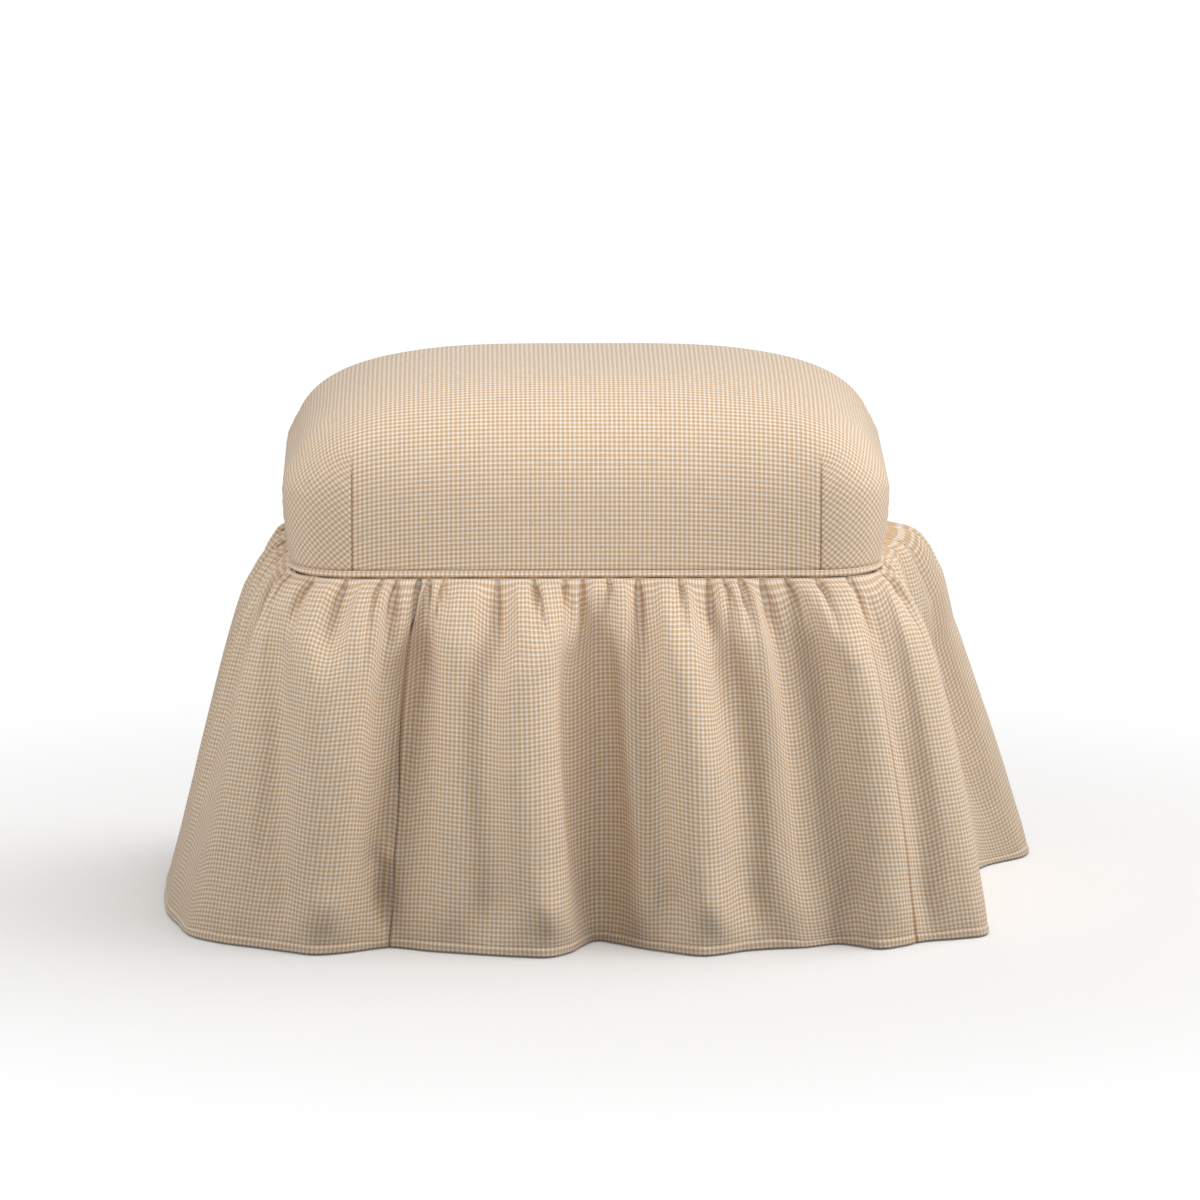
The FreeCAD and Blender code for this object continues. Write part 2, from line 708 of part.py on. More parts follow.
def skirt_panel(first, count):
    """A panel from one seam to the next as a loft through its levels."""
    sections = []
    for level in SKIRT_LEVELS:
        faces = []
        for layer in (1, -1):
            ring_points = skirt_ring(level, layer)
            points = [ring_points[(first + k) % len(ring_points)] for k in range(count)]
            curve = Part.BSplineCurve()
            curve.interpolate(points[::layer])
            faces.append((curve.toShape(), points[::layer]))
        (outside, outer), (inside, inner) = faces
        end = Part.makeLine(outer[-1], inner[0])
        close = Part.makeLine(inner[-1], outer[0])
        sections.append(Part.Wire([outside, end, inside, close]))
    return Part.makeLoft(sections, True, True)


first = 0
for name, line in HEM_LINES.items():
    node(feature(f"skirt_{name}", skirt_panel(first, len(line))))
    first += len(line) - 1

# Every object has to be sound before its file is written.
doc.recompute()
for thing in doc.Objects:
    if "Invalid" in thing.State or "Error" in thing.State:
        raise RuntimeError(f"{thing.Label} did not compute: {thing.State}")
os.makedirs("parts", exist_ok=True)
for thing in nodes:
    if thing.Shape.isNull() or not thing.Shape.isValid():
        raise RuntimeError(f"{thing.Label} has no valid shape")
    thing.Shape.exportStep(f"parts/{thing.Label}.step")
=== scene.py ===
"""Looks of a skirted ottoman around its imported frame. Lengths are metres, +Z is up and the front faces -Y."""

import bmesh
import bpy
import numpy as np
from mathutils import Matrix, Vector


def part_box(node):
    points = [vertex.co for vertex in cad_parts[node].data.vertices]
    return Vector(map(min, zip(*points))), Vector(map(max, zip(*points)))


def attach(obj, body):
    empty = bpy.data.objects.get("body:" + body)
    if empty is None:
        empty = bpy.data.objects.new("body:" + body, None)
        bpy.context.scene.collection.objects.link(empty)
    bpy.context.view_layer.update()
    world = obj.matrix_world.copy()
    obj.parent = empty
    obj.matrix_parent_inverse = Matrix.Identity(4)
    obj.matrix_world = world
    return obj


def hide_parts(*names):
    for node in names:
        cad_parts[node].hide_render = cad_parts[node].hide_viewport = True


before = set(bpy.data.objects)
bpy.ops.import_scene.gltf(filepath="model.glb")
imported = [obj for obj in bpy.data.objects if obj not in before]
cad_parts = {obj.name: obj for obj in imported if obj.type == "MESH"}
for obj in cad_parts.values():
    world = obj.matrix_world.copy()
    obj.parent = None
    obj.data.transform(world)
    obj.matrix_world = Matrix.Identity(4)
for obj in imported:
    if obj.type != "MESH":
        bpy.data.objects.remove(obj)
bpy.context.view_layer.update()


# Posts, rails, corner braces and dowels
# The hidden frame is sawn beech: four posts down to the floor, four rails dowelled between them, and a brace
# glued and screwed across each inside corner. The wood is left bare, because the cloth covers it.
def linear(hex_colour):
    """An sRGB hex colour as the linear RGBA that a shader socket takes."""
    srgb = np.array([int(hex_colour[k : k + 2], 16) for k in (1, 3, 5)]) / 255
    light = np.where(srgb <= 0.04045, srgb / 12.92, ((srgb + 0.055) / 1.055) ** 2.4)
    return (*light.tolist(), 1.0)


def add(tree, kind, inputs=(), **settings):
    """Adds one node to a material, sets its options, and fills its inputs with values or links."""
    made = tree.nodes.new("ShaderNode" + kind)
    for option, value in settings.items():
        setattr(made, option, value)
    for socket, value in dict(inputs).items():
        if isinstance(value, bpy.types.NodeSocket):
            tree.links.new(value, made.inputs[socket])
        else:
            made.inputs[socket].default_value = value
    return made


def new_material(name):
    """An empty node material and the node tree that its shader goes into."""
    material = bpy.data.materials.new(name)
    material.use_nodes = True
    material.node_tree.nodes.clear()
    return material, material.node_tree


def shaded(tree, factor, stops):
    """Colours along a factor: each stop is a position and an sRGB hex colour."""
    ramp = add(tree, "ValToRGB", {"Fac": factor})
    elements = ramp.color_ramp.elements
    while len(elements) < len(stops):
        elements.new(1.0)
    for element, (position, colour) in zip(elements, stops):
        element.position = position
        element.color = linear(colour)
    return ramp.outputs["Color"]


def surface(tree, **inputs):
    """Closes a material with a Principled shader; an input's name has its spaces as underscores."""
    shader = add(tree, "BsdfPrincipled", {name.replace("_", " "): value for name, value in inputs.items()})
    add(tree, "OutputMaterial", {"Surface": shader.outputs[0]})


def dress(material, *names):
    """Gives CAD nodes their material."""
    for name in names:
        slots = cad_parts[name].data.materials
        slots.clear()
        slots.append(material)


CORNERS = ("front_left", "front_right", "back_right", "back_left")
GRAIN_WIDTH = 0.004
GRAIN_LENGTH = 0.090


def beech(name, grain):
    """Sawn beech: long fine streaks along the grain, short raised flecks, and a dull sawn surface."""
    material, tree = new_material(name)
    place = add(tree, "TexCoord").outputs["Object"]
    spacing = [1 / (GRAIN_LENGTH if axis == grain else GRAIN_WIDTH) for axis in "xyz"]
    along = add(tree, "Mapping", {"Vector": place, "Scale": spacing}).outputs[0]
    streak = add(tree, "TexNoise", {"Vector": along, "Scale": 1.0, "Detail": 5.0}).outputs[0]
    fleck = add(tree, "TexNoise", {"Vector": along, "Scale": 4.0, "Detail": 2.0}).outputs[0]
    colour = shaded(tree, streak, ((0.35, "#B98A5E"), (0.65, "#D9B48A")))
    bump = add(tree, "Bump", {"Height": fleck, "Strength": 0.3, "Distance": 0.0004}).outputs[0]
    surface(tree, Base_Color=colour, Roughness=0.72, Normal=bump)
    return material


dress(beech("Sawn beech, grain upright", "z"), *[f"post_{corner}" for corner in CORNERS])
dress(beech("Sawn beech, grain crossways", "x"), "rail_front", "rail_back", "rail_dowels")
dress(beech("Sawn beech, grain front to back", "y"), "rail_left", "rail_right")
dress(beech("Sawn beech, brace offcuts", "x"), *[f"brace_{corner}" for corner in CORNERS])


# Screws, bolts, nails and staples
# The fasteners are drawn steel wire and rolled bolts with a thin zinc coat: brace screws and bolts, glide
# nails, and the staples that hold webbing, tape and dust cover.
def zinc_steel():
    """Zinc-coated steel: a pale grey metal whose coat clouds its gloss in patches a few millimetres wide."""
    material, tree = new_material("Zinc-coated steel")
    cloud_size = 0.003
    place = add(tree, "TexCoord").outputs["Object"]
    cloud = add(tree, "TexNoise", {"Vector": place, "Scale": 1 / cloud_size, "Detail": 3.0}).outputs[0]
    gloss = add(tree, "MapRange", {"Value": cloud, "To Min": 0.28, "To Max": 0.48}).outputs[0]
    colour = shaded(tree, cloud, ((0.3, "#A8AAA8"), (0.7, "#C6C8C6")))
    surface(tree, Base_Color=colour, Metallic=1.0, Roughness=gloss)
    return material


STAPLES = ("webbing_staples", "skirt_staples", "dust_staples")
dress(zinc_steel(), "brace_screws", "brace_bolts", "glide_nails", *STAPLES)


# Glides
# A moulded nylon foot is nailed under each post, so that the ottoman slides and the wood stays off the floor.
# It is milky white and waxy, with the fine grain of its mould.
def grained(name, size, stops, detail=None, bump=None, **inputs):
    """A material with one grain on Object coordinates, of a size in metres: noise with its detail, or round
    cells where no detail is given. It shades between two colours; bump is its strength and its depth."""
    material, tree = new_material(name)
    place = add(tree, "TexCoord").outputs["Object"]
    if detail is None:
        grain = add(tree, "TexVoronoi", {"Vector": place, "Scale": 1 / size}).outputs["Distance"]
    else:
        grain = add(tree, "TexNoise", {"Vector": place, "Scale": 1 / size, "Detail": detail}).outputs[0]
    if bump is not None:
        raised = {"Height": grain, "Strength": bump[0], "Distance": bump[1]}
        inputs["Normal"] = add(tree, "Bump", raised).outputs[0]
    surface(tree, Base_Color=shaded(tree, grain, stops), **inputs)
    return material


MOULD_GRAIN = 0.0008
NYLON_COLOURS = ((0.3, "#DAD6CB"), (0.7, "#E8E5DC"))
nylon = grained("Moulded nylon", MOULD_GRAIN, NYLON_COLOURS, 2.0, (0.2, 0.0001), Roughness=0.45, IOR=1.53)
dress(nylon, *[f"glide_{corner}" for corner in CORNERS])


# Webbing straps
# Three straps lengthways and five crossways are woven jute, 50 mm wide, stretched over the rails, laced over
# and under each other and stapled at both ends.
def reckon(tree, operation, *values):
    """The result of one Math node on values or links."""
    return add(tree, "Math", dict(enumerate(values)), operation=operation).outputs[0]


def coarse_weave(name, colours, thread):
    """Plain weave on Object coordinates: thick uneven threads over and under each other, dull and hairy."""
    material, tree = new_material(name)
    place = add(tree, "TexCoord").outputs["Object"]
    parts = add(tree, "SeparateXYZ", {"Vector": place})
    waves = []
    for axis in "XY":
        turn = reckon(tree, "MULTIPLY", parts.outputs[axis], np.pi / thread)
        waves.append(reckon(tree, "SINE", turn))
    woven = reckon(tree, "MULTIPLY", *waves)
    uneven = add(tree, "TexNoise", {"Vector": place, "Scale": 0.3 / thread, "Detail": 4.0}).outputs[0]
    height = reckon(tree, "MULTIPLY_ADD", woven, 0.25, uneven)
    colour = shaded(tree, height, ((0.25, colours[0]), (0.75, colours[1])))
    bump = add(tree, "Bump", {"Height": height, "Strength": 0.4, "Distance": thread / 3}).outputs[0]
    surface(tree, Base_Color=colour, Roughness=0.95, Normal=bump)
    return material


JUTE_THREAD = 0.0025
LONG_STRAPS = [f"strap_long_{number}" for number in range(1, 4)]
CROSS_STRAPS = [f"strap_cross_{number}" for number in range(1, 6)]
dress(coarse_weave("Woven jute webbing", ("#7E5F3C", "#B89567"), JUTE_THREAD), *LONG_STRAPS, *CROSS_STRAPS)


# Burlap
# One piece of open jute cloth is stretched flat over the webbing. It keeps the foam from being pushed down
# between the straps.
def quads(here, ahead):
    """The corners of each quad from a column to the one ahead: down a row, on by a column, and up again."""
    corners = np.stack([here[:-1], here[1:], ahead[1:], ahead[:-1]], axis=2)
    return corners.reshape(-1, *corners.shape[2:])


def corner_values(grid, wrap=False):
    """A grid of values by rows and columns, given to the corners of its quads."""
    ahead = np.roll(grid, -1, axis=1)
    if not wrap:
        grid, ahead = grid[:, :-1], ahead[:, :-1]
    return quads(grid, ahead)


def grid_faces(rows, columns, first=0, wrap=False):
    """Faces of a grid whose points are numbered row by row."""
    return corner_values(first + np.arange(rows * columns).reshape(rows, columns), wrap)


def new_piece(name, points, faces, material, cloth=None):
    """A smooth mesh piece that rides on the ottoman. cloth has each face corner's flat place, in metres."""
    mesh = bpy.data.meshes.new(name)
    mesh.from_pydata(points.reshape(-1, 3).tolist(), [], faces.tolist())
    if cloth is not None:
        layer = mesh.uv_layers.new(name="cloth")
        layer.uv.foreach_set("vector", cloth.astype(np.float32).ravel())
    mesh.shade_smooth()
    mesh.materials.append(material)
    piece = bpy.data.objects.new(name, mesh)
    bpy.context.collection.objects.link(piece)
    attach(piece, "root")
    return piece


def thicken(piece, thickness):
    """Gives a sheet its thickness, on the side away from its faces."""
    solid = piece.modifiers.new("thickness", "SOLIDIFY")
    solid.thickness = thickness
    solid.offset = -1.0


SHEET_SPACING = 0.008


def laid_sheet(name, node, material, sag=0.0, notch=0.0):
    """A rectangle of cloth in a CAD node's box, dropped by sag times one minus the fourth power of its place
    across and along. A square notch may be cut from each corner."""
    low, high = np.array(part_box(node))
    counts = np.ceil((high - low)[:2] / SHEET_SPACING).astype(int) + 1
    across, along = np.meshgrid(np.linspace(-1, 1, counts[0]), np.linspace(1, -1, counts[1]))
    middle, half = (low + high) / 2, (high - low) / 2
    hollow = sag * (1 - across**4) * (1 - along**4)
    points = np.stack([middle[0] + half[0] * across, middle[1] + half[1] * along, high[2] - hollow], axis=-1)
    points = points.reshape(-1, 3)
    faces = grid_faces(*across.shape)
    place = np.abs(points[faces].mean(axis=1)[:, :2] - middle[:2])
    kept = (place < half[:2] - notch).any(axis=1)
    used, faces = np.unique(faces[kept], return_inverse=True)
    piece = new_piece(name, points[used], faces.reshape(-1, 4), material)
    thicken(piece, high[2] - low[2])
    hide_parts(node)
    return piece, 2 * half[:2]


BURLAP_THREAD = 0.003
burlap_weave = coarse_weave("Burlap", ("#8A6B45", "#C2A274"), BURLAP_THREAD)
burlap, burlap_size = laid_sheet("burlap_cloth", "burlap_sheet", burlap_weave)

# Foam core
# A crowned block of cut polyurethane foam, glued to the burlap. Its top is full in the middle and rolls over
# into upright sides, and its corners follow the rounded frame.
COVER_HIGH = np.array(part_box("seat_cover")[1])
COVER_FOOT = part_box("seat_cover")[0][2]
CORNER_ROUND = 0.054
CENTRE = COVER_HIGH[:2] - CORNER_ROUND
ROLL_START = 0.366
ROLL_POWER = 4.24
CROWN_SQUARE = 3.56
CROWN_BLEND = 0.36
CROWN_HALVINGS = 30
# The sides tuck in towards the foot. The two end faces stand out a little more, from a height downwards, and
# lose a share of that again at the foot.
SIDE_TUCK = 0.004
SIDE_FULL = 0.005
SIDE_FULL_LOST = 0.6
FULL_FROM = 0.398
ROLL_ROWS = 30
SIDE_ROWS = 21
UNDER_ROWS = 8
RIM_SPACING = 0.004
DART_SPACING = np.array([0.0004, 0.0009, 0.0018, 0.004])
DART_MARGIN = 0.006
JOIN_DISTANCE = 1e-5


def stations(length):
    """Places along a run from 0 to length, close together at both ends, where the darts are."""
    inner = np.linspace(0, length, int(round(length / RIM_SPACING)) + 1)
    inner = inner[(inner > DART_MARGIN) & (inner < length - DART_MARGIN)]
    return np.concatenate([[0], DART_SPACING, inner, length - DART_SPACING[::-1]])


def seat_rim():
    """Columns round the seat: the inner rectangle's edge, where each starts, and the way it runs outwards."""
    starts, ways, sectors = [], [], []
    quarter = CORNER_ROUND * np.pi / 2
    for side in range(4):
        facing = (side - 1) * np.pi / 2
        way = np.round([np.cos(facing), np.sin(facing)])
        run = np.array([-way[1], way[0]])
        half = abs(run) @ CENTRE
        offset = stations(2 * half) - half
        starts.append(way * CENTRE + offset[:, None] * run)
        ways.append(np.broadcast_to(way, (len(offset), 2)))
        sectors.append(np.full(len(offset), 2 * side))
        turn = facing + stations(quarter) / CORNER_ROUND
        starts.append(np.broadcast_to((way + run) * CENTRE, (len(turn), 2)))
        ways.append(np.stack([np.cos(turn), np.sin(turn)], axis=1))
        sectors.append(np.full(len(turn), 2 * side + 1))
    return np.concatenate(starts), np.concatenate(ways), np.concatenate(sectors)


def smooth(value, start, end):
    """0 before start, 1 after end, and a smooth step between."""
    step = np.clip((value - start) / (end - start), 0, 1)
    return step * step * (3 - 2 * step)


def crown_height(plan, inset):
    """Height of the crowned top over a plan point. A level's outline is the rounded rectangle shrunk to g of
    its size and blended to a superellipse as g falls, and the height goes with the root of
    1 - g ** ROLL_POWER. The point's level is found by halving."""
    half = COVER_HIGH[:2] - inset
    radius = CORNER_ROUND - inset
    reach = np.maximum(np.linalg.norm(plan, axis=-1), 1e-9)
    ray = np.maximum(np.abs(plan) / reach[..., None], 1e-9)
    to_side = np.where(half[0] / ray[..., 0] * ray[..., 1] <= CENTRE[1], half[0] / ray[..., 0], np.inf)
    to_front = np.where(half[1] / ray[..., 1] * ray[..., 0] <= CENTRE[0], half[1] / ray[..., 1], np.inf)
    lean = ray @ CENTRE
    to_corner = lean + np.sqrt(np.maximum(lean**2 - CENTRE @ CENTRE + radius**2, 0))
    to_edge = np.where(np.isinf(to_side) & np.isinf(to_front), to_corner, np.minimum(to_side, to_front))
    to_oval = ((ray / half) ** CROWN_SQUARE).sum(axis=-1) ** (-1 / CROWN_SQUARE)
    low, high = np.zeros_like(reach), np.ones_like(reach)
    for _ in range(CROWN_HALVINGS):
        level = (low + high) / 2
        blend = smooth(1 - level, 0, CROWN_BLEND)
        outside = level * ((1 - blend) * to_edge + blend * to_oval) > reach
        low, high = np.where(outside, low, level), np.where(outside, level, high)
    rise = COVER_HIGH[2] - inset - ROLL_START
    return ROLL_START + rise * np.sqrt(np.maximum(1 - level**ROLL_POWER, 0))


def seat_form(inset, foot):
    """The seat's form, drawn in by inset: a grid over the inner rectangle, and a band of rows by columns that
    rolls outwards and down to the foot. Also the cloth length down each column, and its place on the rim."""
    starts, ways, sectors = seat_rim()
    lean = np.linspace(0, np.pi / 2, ROLL_ROWS + 1)
    reach = (CORNER_ROUND - inset) * np.sin(lean)
    roll = starts + reach[:, None, None] * ways
    roll_height = crown_height(roll, inset)
    drop = np.linspace(0, 1, SIDE_ROWS + 1)[1:]
    fuller = SIDE_FULL * ways[:, 0] ** 2
    roll = roll + (fuller * smooth(roll_height, FULL_FROM, ROLL_START))[..., None] * ways
    drawn = drop[:, None] ** 2
    side_reach = CORNER_ROUND - inset - SIDE_TUCK * drawn + fuller * (1 - SIDE_FULL_LOST * drawn)
    side = starts + side_reach[..., None] * ways
    side_height = np.broadcast_to((ROLL_START + (foot - ROLL_START) * drop)[:, None], side.shape[:2])
    plan = np.concatenate([roll, side])
    height = np.concatenate([roll_height, side_height])
    band = np.concatenate([plan, height[..., None]], axis=-1)
    step = np.linalg.norm(np.diff(band, axis=0), axis=-1)
    length = np.concatenate([np.zeros((1, len(starts))), np.cumsum(step, axis=0)])
    x = np.append(starts[sectors == 0][:, 0], CENTRE[0])
    y = np.append(starts[sectors == 2][:, 1], CENTRE[1])
    flat = np.stack(np.meshgrid(x, y[::-1]), axis=-1)
    top = np.concatenate([flat, crown_height(flat, inset)[..., None]], axis=-1)
    return top, band, length, (starts, ways, sectors)


def join_doubles(piece):
    """Merges the points where grids meet, so that the piece is one skin."""
    work = bmesh.new()
    work.from_mesh(piece.data)
    bmesh.ops.remove_doubles(work, verts=work.verts, dist=JOIN_DISTANCE)
    work.to_mesh(piece.data)
    work.free()


# Pale yellow and matt, with open cells a little larger than life
FOAM_CELL = 0.0015
FOAM_COLOURS = ((0.1, "#D8C68E"), (0.6, "#EBDDAF"))
cut_foam = grained("Cut polyurethane foam", FOAM_CELL, FOAM_COLOURS, bump=(0.5, 0.0006), Roughness=0.95)


def foam_block():
    """The seat's form, drawn in by the padding, cut flat at the burlap and closed underneath."""
    low, high = np.array(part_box("foam_core"))
    top, band, _, (starts, ways, _) = seat_form(COVER_HIGH[0] - high[0], low[2])
    edge = np.linalg.norm(band[-1, :, :2] - starts, axis=-1)
    inwards = np.linspace(1, 0, UNDER_ROWS + 1)[1:]
    under = starts + (inwards[:, None] * edge)[..., None] * ways
    under = np.concatenate([under, np.full((*under.shape[:2], 1), low[2])], axis=-1)
    band = np.concatenate([band, under])
    base = top[::-1] * [1, 1, 0] + [0, 0, low[2]]
    faces = [grid_faces(*top.shape[:2]), grid_faces(*band.shape[:2], top[..., 0].size, wrap=True)]
    faces.append(grid_faces(*base.shape[:2], top[..., 0].size + band[..., 0].size))
    points = np.concatenate([part.reshape(-1, 3) for part in (top, band, base)])
    piece = new_piece("foam_pad", points, np.concatenate(faces), cut_foam)
    join_doubles(piece)
    return piece


foam = foam_block()
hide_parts("foam_core")


# Batting
# A polyester wadding is wrapped over the foam and down the rails, to round the edges and fill the cover.
# It is a loose white fleece, a few millimetres thick when pulled tight, and the cover's darts draw it in.
TUFT = 0.006
FLEECE_COLOURS = ((0.3, "#DEDCD6"), (0.7, "#F1F0EC"))
FLEECE_FEEL = {"Roughness": 1.0, "Sheen_Weight": 0.3}
wadding = grained("Polyester wadding", TUFT, FLEECE_COLOURS, 6.0, (0.6, 0.001), **FLEECE_FEEL)
DART_TOP = 0.396
DART_DEPTH = 0.0026
DART_WIDTH = 0.0007
# Heights between which a dart's groove comes in: none above the first, all of it below the second
DART_START = (DART_TOP + 0.004, DART_TOP - 0.012)
PUCKER_DEPTH = 0.0004
PUCKER_REACH = 0.008
PUCKER_PITCH = 0.011


def darted_band(band, rim):
    """The band with a groove along each dart, deepest at its stitches by a bell curve, and small puckers that
    die out beside it."""
    _, ways, sectors = rim
    first = np.flatnonzero(np.diff(np.append(sectors[-1], sectors)) != 0)
    gap = np.full(band.shape[:2], np.inf)
    for column in first:
        gap = np.minimum(gap, np.linalg.norm(band - band[:, column : column + 1], axis=-1))
    sewn = smooth(band[..., 2], *DART_START)
    groove = DART_DEPTH * np.exp(-((gap / DART_WIDTH) ** 2))
    pucker = PUCKER_DEPTH * np.exp(-gap / PUCKER_REACH) * np.sin(2 * np.pi * band[..., 2] / PUCKER_PITCH)
    shaped = band.copy()
    shaped[..., :2] += (sewn * (pucker - groove))[..., None] * ways
    return shaped


def seat_skin(name, top, band, rim, material, cloth=None):
    """One skin over the seat: the top's grid and the darted band, merged where they meet."""
    faces = [grid_faces(*top.shape[:2]), grid_faces(*band.shape[:2], top[..., 0].size, wrap=True)]
    points = np.concatenate([top.reshape(-1, 3), darted_band(band, rim).reshape(-1, 3)])
    piece = new_piece(name, points, np.concatenate(faces), material, cloth)
    join_doubles(piece)
    return piece


COVER_THICKNESS = 0.001
WADDING_THICKNESS = 0.0065
top, band, _, rim = seat_form(COVER_THICKNESS, COVER_FOOT)
batting = seat_skin("batting_pad", top, band, rim, wadding)
thicken(batting, WADDING_THICKNESS)
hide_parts("batting_wrap")


# Seat cover
# One piece of checked cotton and linen is drawn over the padding. Two darts at each corner take in the spare
# cloth, so the check runs straight on top and faces and on the bias between the darts.
CHECK = 0.0039
YARN = CHECK / 6
SLUB = 0.020
BAND_EDGE = (0.22 * CHECK, 0.36 * CHECK)
CHECK_COLOURS = ((0.0, "#C6A37B"), (0.5, "#D7C0A5"), (1.0, "#E5E2DD"))
SPECKS_ACROSS = 0.012
SPECKS_ALONG = 0.007
SPECK_SIZE = 0.07
SPECK_SHARE = 0.35


def checked_cloth():
    """Woven check of cotton and linen: cream and tan yarn in bands of half the check, white where cream
    crosses cream, tan where tan crosses tan and beige between. Uneven yarn gives streaks along both threads,
    and the linen has sparse dark specks. The surface is matt with a soft bloom."""
    material, tree = new_material("Checked cotton and linen")
    flat = add(tree, "UVMap", uv_map="cloth").outputs[0]
    parts = add(tree, "SeparateXYZ", {"Vector": flat})
    bands = []
    streaks = []
    for axis, scale in (("X", (1 / YARN, 1 / SLUB, 1)), ("Y", (1 / SLUB, 1 / YARN, 1))):
        saw = reckon(tree, "PINGPONG", parts.outputs[axis], CHECK / 2)
        edge = {"Value": saw, "From Min": BAND_EDGE[0], "From Max": BAND_EDGE[1]}
        bands.append(add(tree, "MapRange", edge, interpolation_type="SMOOTHSTEP").outputs[0])
        along = add(tree, "Mapping", {"Vector": flat, "Scale": scale}).outputs[0]
        streaks.append(add(tree, "TexNoise", {"Vector": along, "Scale": 1.0, "Detail": 3.0}).outputs[0])
    cell = reckon(tree, "MULTIPLY", reckon(tree, "ADD", *bands), 0.5)
    colour = shaded(tree, cell, CHECK_COLOURS)
    streak = reckon(tree, "ADD", *streaks)
    streak_tone = {"Value": streak, "From Min": 0.6, "From Max": 1.4, "To Min": 0.86, "To Max": 1.14}
    tone = add(tree, "MapRange", streak_tone).outputs[0]
    speck_scale = {"Vector": flat, "Scale": (1 / SPECKS_ACROSS, 1 / SPECKS_ALONG, 1)}
    speck_place = add(tree, "Mapping", speck_scale).outputs[0]
    speck = add(tree, "TexVoronoi", {"Vector": speck_place, "Scale": 1.0})
    near = reckon(tree, "LESS_THAN", speck.outputs["Distance"], SPECK_SIZE)
    chance = add(tree, "SeparateXYZ", {"Vector": speck.outputs["Color"]}).outputs["X"]
    dark = reckon(tree, "MULTIPLY", near, reckon(tree, "LESS_THAN", chance, SPECK_SHARE))
    dim = add(tree, "MapRange", {"Value": dark, "To Min": 1.0, "To Max": 0.62}).outputs[0]
    level = reckon(tree, "MULTIPLY", tone, dim)
    toned = add(tree, "VectorMath", {0: colour, "Scale": level}, operation="SCALE").outputs[0]
    bump = add(tree, "Bump", {"Height": streak, "Strength": 0.5, "Distance": 0.0003}).outputs[0]
    bloom = {"Sheen_Weight": 0.15, "Sheen_Roughness": 0.5}
    surface(tree, Base_Color=toned, Roughness=0.9, Normal=bump, **bloom)
    return material


CHECKED_CLOTH = checked_cloth()
# Share of its room over the batting that the cloth fills, so that the two don't touch
COVER_SHARE = 0.8
# Heights between which the cloth at a corner passes from eased in to darted
DART_EASE = (DART_TOP + 0.012, DART_TOP - 0.020)


def cover_cloth_places(length, band, rim):
    """Flat cloth place of each corner of the band's quads. Off a straight edge the cloth runs on by the
    length down the column. At a corner it is polar about the corner's centre, and below the dart's top the
    angle is narrowed, so that a level is as long in the cloth as on the seat; above it the cloth is eased
    in."""
    starts, ways, sectors = rim
    reach = np.linalg.norm(band[..., :2] - starts, axis=-1)
    darted = smooth(band[..., 2], *DART_EASE)
    narrow = 1 + darted * (np.clip(reach / np.maximum(length, 1e-6), 0, 1) - 1)
    angle = np.arctan2(ways[:, 1], ways[:, 0])
    places = []
    for shift in (0, -1):
        way = np.roll(ways, shift, axis=0)
        run = np.roll(length, shift, axis=1)
        middle = ((sectors - 1) // 2 - 1) * np.pi / 2 + np.pi / 4
        offset = np.angle(np.exp(1j * (np.roll(angle, shift) - middle)))
        turned = middle + offset * np.roll(narrow, shift, axis=1)
        bias = starts + run[..., None] * np.stack([np.cos(turned), np.sin(turned)], axis=-1)
        straight = np.roll(starts, shift, axis=0) + run[..., None] * way
        places.append(np.where((sectors % 2 == 1)[:, None], bias, straight))
    return quads(*places)


top, band, length, rim = seat_form(0.0, COVER_FOOT)
cover_cloth = np.concatenate([corner_values(top[..., :2]), cover_cloth_places(length, band, rim)])
cover = seat_skin("seat_cover_cloth", top, band, rim, CHECKED_CLOTH, cover_cloth)
thicken(cover, COVER_THICKNESS * COVER_SHARE)
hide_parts("seat_cover")


# Welt
# A twisted cotton cord runs round the foot of the seat in a sleeve of the same check, cut on the straight.
# The sleeve's two edges are held against the frame as a flange, above the skirt.
QUARTER_POINTS = 200


def run_length(points):
    """Length along a line of points, from 0 at its start."""
    return np.append(0, np.cumsum(np.linalg.norm(np.diff(points, axis=0), axis=1)))


def at_places(place, known, values):
    """Rows of values, each known at a place along a line, read off at other places between them."""
    return np.stack([np.interp(place, known, column) for column in values.T], axis=-1)


def rounded_line(radius, count):
    """A closed line round the frame at a radius from the corner centres, from the middle of the front and to
    the right, with its outward directions. count points lie evenly along it; the length is the last value."""
    quarter = np.linspace(0, np.pi / 2, QUARTER_POINTS)
    turn = np.concatenate([quarter + (side - 1) * np.pi / 2 for side in range(4)])
    ways = np.stack([np.cos(turn), np.sin(turn)], axis=1)
    signs = np.repeat([[1, -1], [1, 1], [-1, 1], [-1, -1]], len(quarter), axis=0)
    line = signs * CENTRE + radius * ways
    start = np.array([[0, -CENTRE[1] - radius]])
    line = np.concatenate([start, line, start])
    ways = np.concatenate([[[0, -1]], ways, [[0, -1]]])
    length = run_length(line)
    place = np.arange(count) * length[-1] / count
    return at_places(place, length, line), at_places(place, length, ways), length[-1]


def carried(profile, radius, height, count):
    """A profile of (outwards, up) points carried along the rounded line at a radius and height."""
    line, ways, length = rounded_line(radius, count)
    plan = line + profile[:, None, :1] * ways
    up = np.broadcast_to(height + profile[:, 1:], plan.shape[:2])
    return np.concatenate([plan, up[..., None]], axis=-1), length


